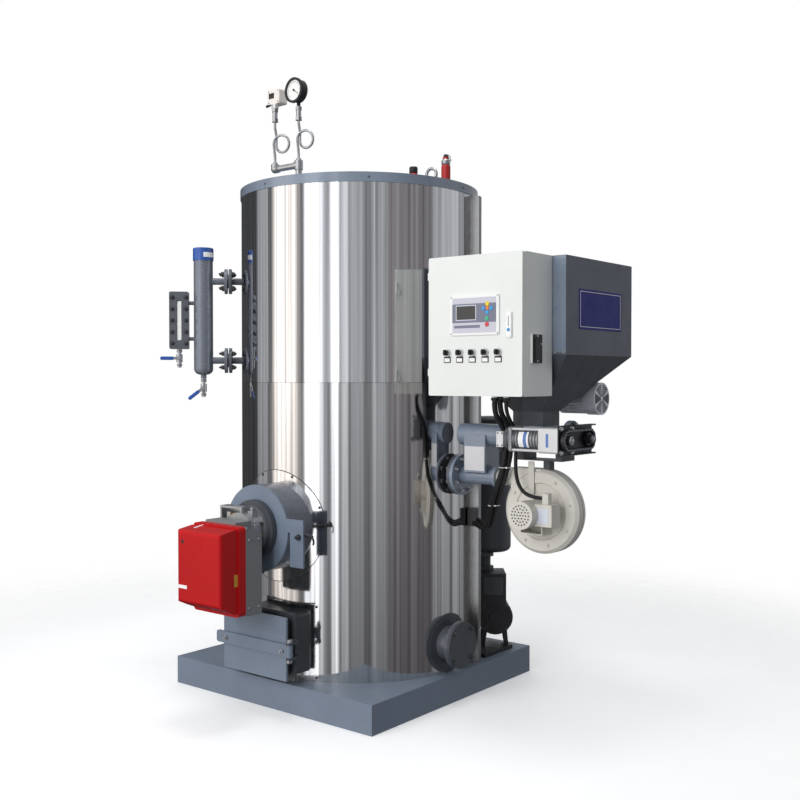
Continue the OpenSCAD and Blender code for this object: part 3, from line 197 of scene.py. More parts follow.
def polished(name, colour, rough, wave, seed):
    """Bright sheet rolled round the shell: upright streaks in tone, gloss and level; the streaks in tone are
    painted reflection.
    """
    s = Shader(name)
    angle, height = round_shell_axis(s)
    wrap = s.node("ShaderNodeCombineXYZ")
    s.join(s.math("ADD", angle, seed), wrap.inputs["X"])
    s.join(s.math("MULTIPLY", height, 0.014), wrap.inputs["Y"])
    along = wrap.outputs["Vector"]
    wide = s.noise(scale=5.0, detail=2.0, place=along)
    band = s.noise(scale=16.0, detail=2.0, place=along)
    thin = s.noise(scale=52.0, detail=3.0, place=along)
    # Streaks in the sheet's colour: painted reflection.
    painted_reflection_streak = s.math("ADD", s.math("MULTIPLY", band, 0.6), s.math("MULTIPLY", thin, 0.4))
    s.colour(painted_reflection_streak, [(0.34, shade(colour, 0.62)), (0.47, shade(colour, 0.94)), (0.54, colour),
                      (0.66, shade(colour, 1.2))])
    s.rough(band, rough - 0.03, rough + 0.06)
    ripple = s.math("ADD", s.math("MULTIPLY", band, 0.22), s.math("MULTIPLY", thin, 0.03))
    s.bump(s.math("ADD", wide, ripple), strength=wave, distance=0.004)
    return s.set(metallic=1.0).material


def brushed(name, colour, rough):
    """Drawn or machined bright metal with fine upright lines."""
    s = Shader(name)
    lines = s.noise(scale=6.0, detail=5.0, stretch=(160, 160, 4))
    s.colour(lines, [(0.3, shade(colour, 0.7)), (0.7, shade(colour, 1.12))])
    s.rough(lines, rough - 0.06, rough + 0.1)
    s.bump(lines, strength=0.12, distance=0.0005)
    return s.set(metallic=1.0).material


def clear(name, colour):
    """Thin gauge glass that the background shows through."""
    s = Shader(name)
    s.colour(s.noise(scale=60.0), [(0.3, shade(colour, 0.96)), (0.7, colour)])
    s.rough(s.noise(scale=90.0), 0.03, 0.09)
    return s.set(alpha=0.18).material


PAINTS = {
    "grey_paint": {"colour": (0.165, 0.205, 0.268), "rough": 0.38, "mottle": 0.1, "skin": 0.2},
    "dark_paint": {"colour": (0.06, 0.066, 0.075), "rough": 0.38, "mottle": 0.16},
    "boiler_steel": {"colour": (0.05, 0.045, 0.04), "rough": 0.7, "mottle": 0.3},
    "gauge_grey": {"colour": (0.125, 0.135, 0.155), "rough": 0.26, "mottle": 0.1, "skin": 0.1, "metal": 0.35},
    # A lighter copy of the grey paint under a real clear coat: the extra lightness is painted highlight, on
    # the feed pipes, the top rim and the hopper's front strip.
    "grey_with_painted_highlight": {"colour": (0.19, 0.232, 0.298), "rough": 0.3, "mottle": 0.1, "skin": 0.15, "coat": 1.0},
    # A lighter copy of the gauge grey: the extra lightness is painted highlight, on the level column and the
    # burner drum.
    "gauge_grey_painted_highlight": {"colour": (0.19, 0.207, 0.245), "rough": 0.26, "mottle": 0.1, "skin": 0.1, "metal": 0.35},
    # Silver paint made lighter than the motor's own tone: the extra lightness is painted light, for the
    # stirrer motor in the hopper's shade.
    "motor_silver_painted_light": {"colour": (0.72, 0.74, 0.79), "rough": 0.32, "mottle": 0.15, "skin": 0.2, "metal": 0.5},
    "silver_plate": {"colour": (0.66, 0.66, 0.68), "rough": 0.35, "mottle": 0.06, "metal": 0.3},
    "red_enamel": {"colour": (0.46, 0.006, 0.008), "rough": 0.32, "mottle": 0.08,
                   "skin": 0.06, "shine": 0.22},
    "cast_alloy": {"colour": (0.66, 0.67, 0.69), "rough": 0.34, "mottle": 0.1, "grain": 420.0,
                   "skin": 0.35, "metal": 0.6},
    "burner_alloy": {"colour": (0.5, 0.51, 0.52), "rough": 0.32, "mottle": 0.14, "grain": 420.0,
                     "skin": 0.35, "metal": 0.85},
    "fin_alloy": {"colour": (0.3, 0.31, 0.33), "rough": 0.3, "mottle": 0.2, "skin": 0.2, "metal": 0.7},
    # A darker copy of the paint: painted shade, on the hopper cone and the cleanout cover.
    "dark_painted_shade": {"colour": (0.06, 0.067, 0.08), "rough": 0.4, "mottle": 0.12},
    "label_blue": {"colour": (0.1, 0.19, 0.46), "rough": 0.35, "mottle": 0.08},
    "housing_grey": {"colour": (0.19, 0.2, 0.205), "rough": 0.45, "mottle": 0.08, "skin": 0.2},
    "valve_red": {"colour": (0.42, 0.02, 0.018), "rough": 0.38, "mottle": 0.15},
    "blue_handle": {"colour": (0.02, 0.085, 0.36), "rough": 0.32, "mottle": 0.1, "coat": 0.3},
    # A darker copy of the grey paint: the darkness is painted shade, for the hopper's shaded side.
    "hopper_paint": {"colour": (0.1, 0.116, 0.142), "rough": 0.36, "mottle": 0.12},
    "black_paint": {"colour": (0.012, 0.012, 0.014), "rough": 0.36, "mottle": 0.3},
    "cream_paint": {"colour": (0.62, 0.6, 0.545), "rough": 0.38, "mottle": 0.07, "skin": 0.2},
    "cabinet_paint": {"colour": (0.75, 0.77, 0.745), "rough": 0.42, "mottle": 0.03,
                      "grain": 520.0, "skin": 0.25},
    "panel_plastic": {"colour": (0.82, 0.82, 0.81), "rough": 0.4, "mottle": 0.03},
    "black_plastic": {"colour": (0.014, 0.014, 0.015), "rough": 0.42, "mottle": 0.2},
    "beige_plastic": {"colour": (0.84, 0.78, 0.73), "rough": 0.45, "mottle": 0.05},
    "lead_rubber": {"colour": (0.01, 0.01, 0.011), "rough": 0.48, "mottle": 0.25},
    "zinc": {"colour": (0.5, 0.51, 0.53), "rough": 0.3, "mottle": 0.15,
             "grain": 300.0, "skin": 0.2, "metal": 0.95},
    "dark_bolt": {"colour": (0.045, 0.05, 0.056), "rough": 0.4, "mottle": 0.2},
    "brass": {"colour": (0.56, 0.36, 0.12), "rough": 0.3, "mottle": 0.15, "metal": 0.9},
    "white_plate": {"colour": (0.86, 0.86, 0.85), "rough": 0.35, "mottle": 0.02},
    "blue_plate": {"colour": (0.02, 0.024, 0.2), "rough": 0.36, "mottle": 0.08, "shine": 0.2},
    "screen": {"colour": (0.024, 0.027, 0.028), "rough": 0.18, "mottle": 0.25, "coat": 0.2},
    "slate_plastic": {"colour": (0.17, 0.18, 0.24), "rough": 0.35, "mottle": 0.05},
    "lilac_plastic": {"colour": (0.55, 0.55, 0.62), "rough": 0.4, "mottle": 0.04},
    "yellow_key": {"colour": (0.8, 0.58, 0.02), "rough": 0.35, "mottle": 0.06},
    "orange_key": {"colour": (0.8, 0.22, 0.04), "rough": 0.35, "mottle": 0.06},
    "sky_key": {"colour": (0.06, 0.3, 0.62), "rough": 0.35, "mottle": 0.06},
    "green_key": {"colour": (0.05, 0.42, 0.22), "rough": 0.35, "mottle": 0.06},
    "red_key": {"colour": (0.62, 0.05, 0.07), "rough": 0.35, "mottle": 0.06},
    "amber_label": {"colour": (0.5, 0.3, 0.03), "rough": 0.35, "mottle": 0.06},
    "pale_label": {"colour": (0.62, 0.65, 0.72), "rough": 0.35, "mottle": 0.03},
    "dial_face": {"colour": (0.88, 0.88, 0.86), "rough": 0.4, "mottle": 0.02},
}
SHEETS = {
    "polished_cladding": {"colour": (0.78, 0.78, 0.79), "rough": 0.055, "wave": 0.14, "seed": 0.0},
    "lower_cladding": {"colour": (0.7, 0.69, 0.69), "rough": 0.06, "wave": 0.2, "seed": 3.7},
    "bright_trim": {"colour": (0.8, 0.79, 0.78), "rough": 0.09, "wave": 0.25, "seed": 1.3},
}
BRIGHT = {
    "trunk_steel": {"colour": (0.36, 0.355, 0.345), "rough": 0.3},
    "bright_steel": {"colour": (0.62, 0.63, 0.65), "rough": 0.26},
}
LOOK = {name: painted(name, **values) for name, values in PAINTS.items()}
LOOK.update({name: polished(name, **values) for name, values in SHEETS.items()})
LOOK.update({name: brushed(name, **values) for name, values in BRIGHT.items()})
LOOK["gauge_glass"] = clear("gauge_glass", colour=(0.9, 0.93, 0.93))

# Nodes whose look is a variant of their slot's. Some variants are lighter or darker copies of a paint that
# carry painted highlight, painted light or painted shade, as noted in the paint table.
VARIANT = {
    "cladding_lower": "lower_cladding", "cladding_trims": "bright_trim", "level_column": "gauge_grey_painted_highlight",
    "glass_frame": "gauge_grey", "glass_lever": "zinc", "column_lever": "zinc", "cable_trunk": "trunk_steel",
    "stirrer_motor": "motor_silver_painted_light", "burner_drum": "gauge_grey_painted_highlight", "shell_nozzles": "gauge_grey",
    "burner_casting": "burner_alloy", "gear_motor": "fin_alloy", "hopper_cone": "dark_painted_shade",
    "cleanout_cover": "dark_painted_shade", "feed_pipework": "grey_with_painted_highlight", "top_rim": "grey_with_painted_highlight",
}

for entry in frame["record"]["subparts"]:
    part = nodes[entry["node"]]
    part.data.materials.clear()
    part.data.materials.append(LOOK[VARIANT.get(entry["node"], entry["material_slot"])])

# Building pieces


def turn_to(way):
    """Rotation that takes +Z to a direction."""
    return Z.rotation_difference(Vector(way).normalized()).to_matrix().to_4x4()


SHARP = math.radians(38)


class Piece:
    """One mesh put together from simple forms, with sharp edges kept and the rest smooth."""

    def __init__(self, name, look, body=BOILER, bevel=0.0):
        self.name, self.look, self.body, self.bevel = name, look, body, bevel
        self.bm = bmesh.new()

    def box(self, low, high, turn=None):
        """A block between two corners, turned about its middle."""
        low, high = Vector(low), Vector(high)
        size = Matrix.Diagonal((*(high - low), 1))
        place = Matrix.Translation((low + high) / 2) @ (turn or Matrix.Identity(4)) @ size
        bmesh.ops.create_cube(self.bm, size=1.0, matrix=place)
        return self

    def slab(self, middle, size, turn=None):
        """A block given by its middle and its size."""
        half = Vector(size) / 2
        return self.box(Vector(middle) - half, Vector(middle) + half, turn)

    def rod(self, start, end, r, r_end=None, sides=28):
        """A round bar, or a cone, from one point to another."""
        start, end = Vector(start), Vector(end)
        way = end - start
        place = Matrix.Translation((start + end) / 2) @ turn_to(way)
        bmesh.ops.create_cone(
            self.bm, cap_ends=True, segments=sides, radius1=r,
            radius2=r if r_end is None else r_end, depth=way.length, matrix=place)
        return self

    def ring(self, middle, way, r, wire, steps=40, sides=10, sweep=360.0, start=0.0):
        """A round wire bent into an arc."""
        place = Matrix.Translation(Vector(middle)) @ turn_to(way)
        points = []
        count = steps if sweep >= 360 else steps + 1
        for i in range(count):
            a = math.radians(start + sweep * i / steps)
            points.append(place @ (Vector((math.cos(a), math.sin(a), 0)) * r))
        return self.wire(points, wire, sides, closed=sweep >= 360)

    def wire(self, points, r, sides=10, closed=False):
        """A round wire through points."""
        rings = []
        count = len(points)
        side = None
        for i, p in enumerate(points):
            before = points[i - 1] if i or closed else p
            after = points[(i + 1) % count] if i < count - 1 or closed else p
            way = (after - before).normalized()
            if side is None:
                side = way.orthogonal().normalized()
            side = (side - way * side.dot(way)).normalized()
            other = way.cross(side)
            rings.append([
                self.bm.verts.new(p + (side * math.cos(a) + other * math.sin(a)) * r)
                for a in (2 * math.pi * k / sides for k in range(sides))])
        for i in range(count if closed else count - 1):
            a, b = rings[i], rings[(i + 1) % count]
            for k in range(sides):
                m = (k + 1) % sides
                self.bm.faces.new((a[k], a[m], b[m], b[k]))
        if not closed:
            self.bm.faces.new(rings[0][::-1])
            self.bm.faces.new(rings[-1])
        return self

    def lathe(self, at, way, profile, sides=40):
        """A turned form; the profile is (radius, height) pairs from the bottom to the top."""
        place = Matrix.Translation(Vector(at)) @ turn_to(way)
        rows = [[
            self.bm.verts.new(place @ Vector((r * math.cos(a), r * math.sin(a), h)))
            for a in (2 * math.pi * k / sides for k in range(sides))] for r, h in profile]
        for low, high in zip(rows, rows[1:]):
            for k in range(sides):
                m = (k + 1) % sides
                self.bm.faces.new((low[k], low[m], high[m], high[k]))
        self.bm.faces.new(rows[0][::-1])
        self.bm.faces.new(rows[-1])
        return self

    def outline(self, at, way, up, points, depth):
        """A flat outline in (side, up) pairs, drawn out along a direction."""
        way, up = Vector(way).normalized(), Vector(up).normalized()
        side = up.cross(way)
        low = [self.bm.verts.new(Vector(at) + side * a + up * b) for a, b in points]
        high = [self.bm.verts.new(v.co + way * depth) for v in low]
        count = len(points)
        for k in range(count):
            m = (k + 1) % count
            self.bm.faces.new((low[k], low[m], high[m], high[k]))
        self.bm.faces.new(low[::-1])
        self.bm.faces.new(high)
        return self

    def bolt(self, at, way, across, height, stub=0.0, washer=True):
        """A hexagon head on a washer, with a stub of thread."""
        at, way = Vector(at), Vector(way).normalized()
        low = at
        if washer:
            low = at + way * height * 0.25
            self.rod(at, low, across * 0.68, sides=20)
        corner, chamfered = across * 0.577, across * 0.47
        shoulder, top = low + way * height * 0.86, low + way * height
        self.rod(low, shoulder, corner, sides=6)
        self.rod(shoulder, top, corner, chamfered, sides=6)
        if stub:
            self.rod(top, low + way * (height + stub), across * 0.3, across * 0.26, sides=14)
        return self

    def screw(self, at, way, r):
        """A domed screw head."""
        dome = ((1, 0), (1, 0.18), (0.82, 0.5), (0.4, 0.7), (0.05, 0.74))
        return self.lathe(at, way, [(r * a, r * b) for a, b in dome], 16)

    def done(self):
        """The finished object, riding on its body."""
        bmesh.ops.recalc_face_normals(self.bm, faces=self.bm.faces)
        for face in self.bm.faces:
            face.smooth = True
        for edge in self.bm.edges:
            edge.smooth = len(edge.link_faces) == 2 and edge.calc_face_angle(math.pi) < SHARP
        mesh = bpy.data.meshes.new(self.name)
        self.bm.to_mesh(mesh)
        self.bm.free()
        made = bpy.data.objects.new(self.name, mesh)
        bpy.context.scene.collection.objects.link(made)
        mesh.materials.append(LOOK[self.look])
        if self.bevel:
            soft = made.modifiers.new("soft_edges", "BEVEL")
            soft.width = self.bevel
            soft.segments = 2
            soft.limit_method = "ANGLE"
        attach(made, self.body)
        return made


def around(count, start=0.0):
    """Unit points round a circle."""
    turns = [math.radians(start + 360 * k / count) for k in range(count)]
    return [(math.cos(a), math.sin(a)) for a in turns]


def bent_strip(r_out, r_in, degrees):
    """Outline of a thin strip bent round an axis, over a row of angles."""
    turns = [math.radians(d) for d in degrees]
    outer = [(r_out * math.sin(a), r_out * math.cos(a)) for a in turns]
    return outer + [(r_in * math.sin(a), r_in * math.cos(a)) for a in turns[::-1]]


# Leads

LOOM_ROUTE = [
    (800, -165, 1200), (800, -165, 1176), (799, -153, 1146), (797, -126, 1120), (794, -99, 1094),
    (792, -82, 1062), (790, -76, 1024), (785, -74, 985), (775, -73, 945), (760, -69, 905),
    (738, -58, 865), (711, -36, 826), (682, -8, 788), (654, 22, 752), (629, 49, 721),
    (606, 70, 697), (583, 86, 684), (560, 97, 682), (538, 106, 688),
]
LOOM_SHIFT = mm(13, 17, 5)
LEAD_ROUTE = [
    (850, -165, 1200), (850, -165, 1177), (849, -154, 1150), (847, -131, 1124), (844, -102, 1098),
    (841, -84, 1066), (838, -78, 1030), (836, -77, 994), (838, -80, 958), (845, -87, 924),
    (859, -96, 894), (880, -104, 870), (906, -108, 855), (934, -109, 848), (956, -108, 846),
    (976, -108, 846),
]
LOOM_D, LEAD_D = 0.020, 0.014


def lead(name, node, route, diameter):
    """A free lead as one smooth curve along its route."""
    data = bpy.data.curves.new(name, "CURVE")
    data.dimensions = "3D"
    data.bevel_depth = diameter / 2
    data.bevel_resolution = 6
    data.use_fill_caps = True
    spline = data.splines.new("POLY")
    spline.points.add(len(route) - 1)
    for point, place in zip(spline.points, route):
        point.co = (*place, 1)
    made = bpy.data.objects.new(name, data)
    bpy.context.scene.collection.objects.link(made)
    data.materials.append(LOOK["lead_rubber"])
    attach(made, BOILER)
    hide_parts(node)


def smooth(route, steps=4):
    """Points on a smooth curve through a route."""
    ends = [route[0] * 2 - route[1]] + route + [route[-1] * 2 - route[-2]]
    points = []
    for a, b, c, d in zip(ends, ends[1:], ends[2:], ends[3:]):
        for k in range(steps):
            t = k / steps
            points.append((b * 2 + (c - a) * t + (a * 2 - b * 5 + c * 4 - d) * t * t
                           + (b * 3 - a - c * 3 + d) * t ** 3) / 2)
    return points + [route[-1]]


loom = [mm(*p) for p in LOOM_ROUTE]
lead("loom_front", "control_loom_a", smooth(loom), LOOM_D)
lead("loom_rear", "control_loom_b", smooth([p + LOOM_SHIFT for p in loom]), LOOM_D)
lead("fan_lead", "blower_lead", smooth([mm(*p) for p in LEAD_ROUTE]), LEAD_D)

# Fastenings and fittings of the shell and its top

TRIM_R, RIM_R = 0.5018, 0.5043
BURNER_Z = 0.705
TOP_Z = 2063
FRONT, RIGHT = -Y, X


def on_trim(x, z):
    """A point on the front of the bent trims, and the way it faces."""
    y = -math.sqrt(TRIM_R * TRIM_R - x * x)
    return Vector((x, y, z)), Vector((x, y, 0))


trim_screws = Piece("trim_screws", "dark_bolt")
BURNER_TRIM_R, ASH_TRIM_X, TRIM_SCREW_R = 0.211, 0.183, 0.0055
for c, s in around(8, 22.5):
    trim_screws.screw(*on_trim(BURNER_TRIM_R * c, BURNER_Z + BURNER_TRIM_R * s), TRIM_SCREW_R)
for side in (-1, 1):
    for z in (0.128, 0.402):
        trim_screws.screw(*on_trim(ASH_TRIM_X * side, z), TRIM_SCREW_R)
trim_screws.done()

rim_screws = Piece("rim_screws", "gauge_grey")
for c, s in around(7, -45.3):
    rim_screws.screw((RIM_R * c, RIM_R * s, 2.048), (c, s, 0), 0.0045)
rim_screws.done()

TRUNK_TURN = math.radians(17.96)
TRUNK_FACE = 0.538
TRUNK_WAY = Vector((math.cos(TRUNK_TURN), math.sin(TRUNK_TURN), 0))
trunk_screws = Piece("trunk_screws", "zinc")
for z in (0.24, 0.56, 0.9, 1.2, 1.5, 1.8, 1.98):
    trunk_screws.screw(TRUNK_WAY * TRUNK_FACE + Z * z, TRUNK_WAY, 0.004)
trunk_screws.done()

COLLAR_R = 132
collar_bolts = Piece("collar_bolts", "dark_bolt")
for c, s in around(8, 22.5):
    collar_bolts.bolt(mm(COLLAR_R * c, COLLAR_R * s, TOP_Z), Z, 0.016, 0.010, 0.006)
collar_bolts.done()

# Gauge, switch and safety valves

GAUGE_X, SWITCH_X, SIPHON_Y = -215, -358, -150
GAUGE_AT = mm(GAUGE_X, SIPHON_Y, 2510.5)
GAUGE_TURN = math.radians(3)
GAUGE_WAY = Vector((-math.sin(GAUGE_TURN), -math.cos(GAUGE_TURN), 0))
GAUGE_SIDE = Z.cross(GAUGE_WAY)
DIAL_BACK, DIAL_FACE, DIAL_R = 0.0255, 0.0266, 0.0432
MARK_END, MARK_HALF = 0.038, 0.0007
NEEDLE_TURN = 215
FACE_AT = GAUGE_AT + GAUGE_WAY * DIAL_FACE


def dial_way(degrees):
    """The way from the dial's middle to a place on its scale."""
    a = math.radians(degrees)
    return -GAUGE_SIDE * math.cos(a) + Z * math.sin(a)


Piece("dial", "dial_face").lathe(
    GAUGE_AT + GAUGE_WAY * DIAL_BACK, GAUGE_WAY, [(DIAL_R, 0), (DIAL_R, DIAL_FACE - DIAL_BACK)], 64).done()
dial_marks = Piece("dial_marks", "black_plastic")
for k in range(31):
    way = dial_way(225 - 9 * k)
    length = 0.007 if k % 5 == 0 else 0.004
    mark = [(-MARK_HALF, 0), (MARK_HALF, 0), (MARK_HALF, length), (-MARK_HALF, length)]
    dial_marks.outline(FACE_AT + way * (MARK_END - length), GAUGE_WAY, way, mark, 0.0004)
dial_marks.outline(FACE_AT + GAUGE_WAY * 0.001, GAUGE_WAY, dial_way(NEEDLE_TURN),
                   [(-0.002, -0.010), (0.002, -0.010), (0.0006, 0.032), (-0.0006, 0.032)], 0.0008)
dial_marks.rod(FACE_AT, FACE_AT + GAUGE_WAY * 0.003, 0.0045)
dial_marks.done()

switch_dark = Piece("switch_window", "black_plastic", bevel=0.0012)
switch_dark.box(mm(-386, -161.2, 2503), mm(-354, -159.5, 2527))
switch_dark.box(mm(-403, -152, 2488), mm(-393.5, -124, 2518))
switch_dark.rod(mm(-386, -152, 2480), mm(-404, -158, 2473), 0.006)
switch_dark.done()
switch_screws = Piece("switch_screws", "zinc")
for x, z in ((-386, 2487), (-330, 2487), (-386, 2533), (-330, 2533)):
    switch_screws.screw(mm(x, -160, z), FRONT, 0.0035)
switch_screws.done()

fittings = Piece("top_nuts", "zinc", bevel=0.0008)
for x, low, high, r in ((GAUGE_X, 2214, 2225, 0.0115), (SWITCH_X, 2214, 2225, 0.0115),
                        (SWITCH_X, 2461, 2476, 0.0165), (GAUGE_X, TOP_Z, 2077, 0.027)):
    fittings.rod(mm(x, SIPHON_Y, low), mm(x, SIPHON_Y, high), r, sides=6)
fittings.done()

TALL_VALVE, SHORT_VALVE = (383, 100), (214, 100)
valve_tops = Piece("valve_bonnets", "zinc")
valve_tops.lathe(mm(*TALL_VALVE, 2161), Z,
                 [(0.0165, 0), (0.0185, 0.004), (0.0185, 0.017), (0.014, 0.022)], 32)
valve_tops.rod(mm(*TALL_VALVE, TOP_Z), mm(*TALL_VALVE, 2079), 0.0165, sides=6)
valve_tops.rod(mm(*SHORT_VALVE, TOP_Z), mm(*SHORT_VALVE, 2080), 0.019, sides=6)
valve_tops.wire([mm(*TALL_VALVE, 2194), mm(396, 94, 2199), mm(414, 86, 2190), mm(420, 83, 2170)], 0.003)
valve_tops.done()
valve_caps = Piece("valve_caps", "black_plastic", bevel=0.001)
valve_caps.lathe(mm(*SHORT_VALVE, 2146), Z,
                 [(0.0165, 0), (0.018, 0.003), (0.018, 0.024), (0.015, 0.028)], 32)
valve_caps.lathe(mm(*TALL_VALVE, 2183), Z, [(0.0105, 0), (0.0105, 0.016), (0.007, 0.021)], 24)
valve_caps.done()

# Burner

CASTING_R = 0.08
casting_bolts = Piece("casting_bolts", "dark_bolt")
for c, s in around(8, 22.5):
    casting_bolts.bolt((CASTING_R * c, -0.650, BURNER_Z + CASTING_R * s), FRONT, 0.011, 0.008)
casting_bolts.bolt(mm(226, -608, 692), FRONT, 0.017, 0.011, 0.007)
casting_bolts.done()

linkage = Piece("burner_linkage", "burner_alloy", bevel=0.0015)
linkage.box(mm(-84, -684, 731), mm(-64, -650, 772))
linkage.box(mm(-40, -690, 731), mm(-22, -650, 765))
linkage.box(mm(22, -676, 752), mm(48, -650, 782))
linkage.box(mm(44, -692, 700), mm(78, -660, 734))
linkage.rod(mm(-88, -672, 752), mm(0, -672, 752), 0.006)
linkage.rod(mm(35, -664, 782), mm(35, -664, 793), 0.008, sides=6)
linkage.rod(mm(61, -676, 690), mm(61, -676, 746), 0.007)
linkage.done()
linkage_nut = Piece("linkage_nut", "brass")
linkage_nut.bolt(mm(-53, -674, 757), FRONT, 0.017, 0.010, 0.006)
linkage_nut.rod(mm(-53, -650, 757), mm(-53, -674, 757), 0.006)
linkage_nut.done()

hinge_hook = Piece("cover_hook", "dark_bolt")
hook_eye = mm(263, -590, 699)
hook = [(258, -606, 704), (266, -608, 709), (278, -602, 702), (286, -594, 688), (285, -590, 675),
        (279, -587, 667)]
hinge_hook.rod(mm(168, -570, 699), hook_eye, 0.008)
hinge_hook.ring(hook_eye, (0.2, 0.3, 1), 0.012, 0.0045, 28)
hinge_hook.wire([mm(*p) for p in hook], 0.004)
hinge_hook.done()

hood_bits = Piece("hood_screw", "black_plastic")
flat_head = [(0.0075, 0), (0.0075, 0.0006), (0.0045, 0.0009)]
hood_bits.lathe(mm(-84, -899.6, 682), FRONT, flat_head, 24)
hood_bits.lathe(mm(-119.2, -850, 610), -X, flat_head, 24)
hood_bits.done()
Piece("hood_badge", "white_plate", bevel=0.0004).box(mm(-112, -901, 509), mm(-60, -899.8, 522)).done()
Piece("hood_mark", "white_plate", bevel=0.0003).slab(
    mm(-70, -834, 732.4), mm(9, 44, 1), Matrix.Rotation(math.radians(8.6), 4, "X")).done()
Piece("hood_sticker", "amber_label", bevel=0.0003).box(mm(118.6, -831, 527), mm(119.6, -808, 571)).done()
housing_screws = Piece("housing_screws", "zinc")
for y in (-716, -764):
    for z in (440, 690):
        for side in (-1, 1):
            housing_screws.screw(mm(125 * side, y, z), X * side, 0.005)
housing_screws.done()

# Ash door and its hinge

ASH_HINGE = (194, -626)
hinge_nuts = Piece("hinge_nuts", "zinc")
hinge_nuts.bolt(mm(*ASH_HINGE, 298), Z, 0.019, 0.010)
hinge_nuts.bolt(mm(*ASH_HINGE, 232), -Z, 0.019, 0.010)
hinge_nuts.done()
strap_bolts = Piece("strap_bolts", "zinc", ASH)
for x, z in ((160, 261), (-150, 265)):
    strap_bolts.bolt(mm(x, -631, z), FRONT, 0.015, 0.008, 0.005)
strap_bolts.done()

# Cleanout and feed flanges

CLEANOUT_Y, CLEANOUT_Z, CLEANOUT_BOLTS_R = -0.040, 0.230, 0.080
SCREW_Z, SCREW_BOLTS_R = 1062, 54
FEED_Z, FEED_BOLTS_R = 0.9, 0.066
flange_bolts = Piece("flange_bolts", "dark_bolt")
for c, s in around(4, 45):
    at = Vector((0, CLEANOUT_Y + CLEANOUT_BOLTS_R * c, CLEANOUT_Z + CLEANOUT_BOLTS_R * s))
    flange_bolts.bolt(at + X * 0.570, RIGHT, 0.014, 0.009, 0.005)
    flange_bolts.bolt(at + X * 0.546, -RIGHT, 0.014, 0.010)
for c, s in around(6, 30):
    flange_bolts.bolt(mm(1034, SCREW_BOLTS_R * c, SCREW_Z + SCREW_BOLTS_R * s), RIGHT, 0.013, 0.008)
flange_bolts.done()
feed_bolts = Piece("feed_bolts", "zinc")
for c, s in around(8, 22.5):
    at = Vector((0, FEED_BOLTS_R * c, FEED_Z + FEED_BOLTS_R * s))
    feed_bolts.bolt(at + X * 0.546, RIGHT, 0.015, 0.010, 0.006)
    feed_bolts.bolt(at + X * 0.518, -RIGHT, 0.015, 0.009)
feed_bolts.done()


def round_shell(piece, way, across, z, r, out):
    """A thin dark line on the shell, round as seen along a horizontal direction: partly a real gap, partly
    painted shadow.
    """
    side = Z.cross(way)
    points = []
    for c, s in around(96):
        a = across + r * c
        points.append(way * math.sqrt(out * out - a * a) + side * a + Z * (z + r * s))
    piece.wire(points, 0.0014, 8, closed=True)


# Dark lines at the burner trim's edge and round the cleanout: partly the real gap there, partly painted
# shadow along it.
edge_gap_shadow_lines = Piece("edge_gap_shadow_lines", "dark_bolt")
round_shell(edge_gap_shadow_lines, X, CLEANOUT_Y, CLEANOUT_Z, 0.100, 0.5034)
round_shell(edge_gap_shadow_lines, FRONT, 0.0, BURNER_Z, 0.2185, 0.5012)
edge_gap_shadow_lines.done()
Piece("chute_plate", "silver_plate", bevel=0.0005).box(mm(584, -50.8, 924), mm(677, -49.4, 1018)).done()

# Level gauge, in its own frame: out from the shell, across it, and up

LEVEL_OUT = Vector((-1, -1, 0)).normalized()
LEVEL_SIDE = Vector((1, -1, 0)).normalized()
GLASS_OUT, COLUMN_OUT = 760, 660
ARM_BOLTS_R = 41


def level(out, side, z):
    """A place in the gauge's frame, given in millimetres."""
    return (LEVEL_OUT * out + LEVEL_SIDE * side + Z * z) * MM


level_bolts = Piece("level_bolts", "dark_bolt")
for z in (1357, 1690):
    for c, s in around(4, 45):
        across, up = ARM_BOLTS_R * c, z + ARM_BOLTS_R * s
        level_bolts.bolt(level(571, across, up), LEVEL_OUT, 0.016, 0.011, 0.009)
        level_bolts.bolt(level(541, across, up), -LEVEL_OUT, 0.016, 0.010, 0.005)
for row in range(5):
    for side in (-1, 1):
        for face in (-1, 1):
            at = level(GLASS_OUT + 29 * side, 22 * face, 1429 + 48 * row)
            level_bolts.bolt(at, LEVEL_SIDE * face, 0.014, 0.010, 0.006)
level_bolts.done()
cap_label = Piece("cap_label", "white_plate")
label_arc = bent_strip(0.0438, 0.0428, range(-95, -4, 9))
cap_label.outline(level(COLUMN_OUT, 0, 1789), Z, LEVEL_SIDE, label_arc, 0.020)
cap_label.done()
tap_nuts = Piece("tap_nuts", "zinc", bevel=0.0006)
for out, top in ((GLASS_OUT, 1405), (COLUMN_OUT, 1281)):
    tap_nuts.rod(level(out, 0, top - 2), level(out, 0, top - 14), 0.0125, sides=6)
    tap_nuts.rod(level(out, 0, top - 62), level(out, 0, top - 72), 0.0115, sides=6)
    tap_nuts.rod(level(out, 34, top - 39), level(out, 39, top - 39), 0.0075, sides=6)
tap_nuts.done()


def lever_grip(body, out, z, dip):
    """A soft grip on the outer part of a drain lever."""
    way = LEVEL_OUT * math.cos(dip) - Z * math.sin(dip)
    up = way.cross(LEVEL_SIDE)
    piece = Piece(body + "_grip", "blue_handle", body, bevel=0.0025)
    at = level(out, 28, z) + way * 0.049 - LEVEL_SIDE * 0.0042
    edge = [(math.copysign(0.022, c) + 0.006 * c, 0.0076 * s) for c, s in around(18, -80)]
    piece.outline(at, LEVEL_SIDE, up, edge, 0.0084)
    piece.done()


lever_grip("glass_lever", GLASS_OUT, 1366, 0.0)
lever_grip("column_lever", COLUMN_OUT, 1242, math.radians(38))

# Hopper

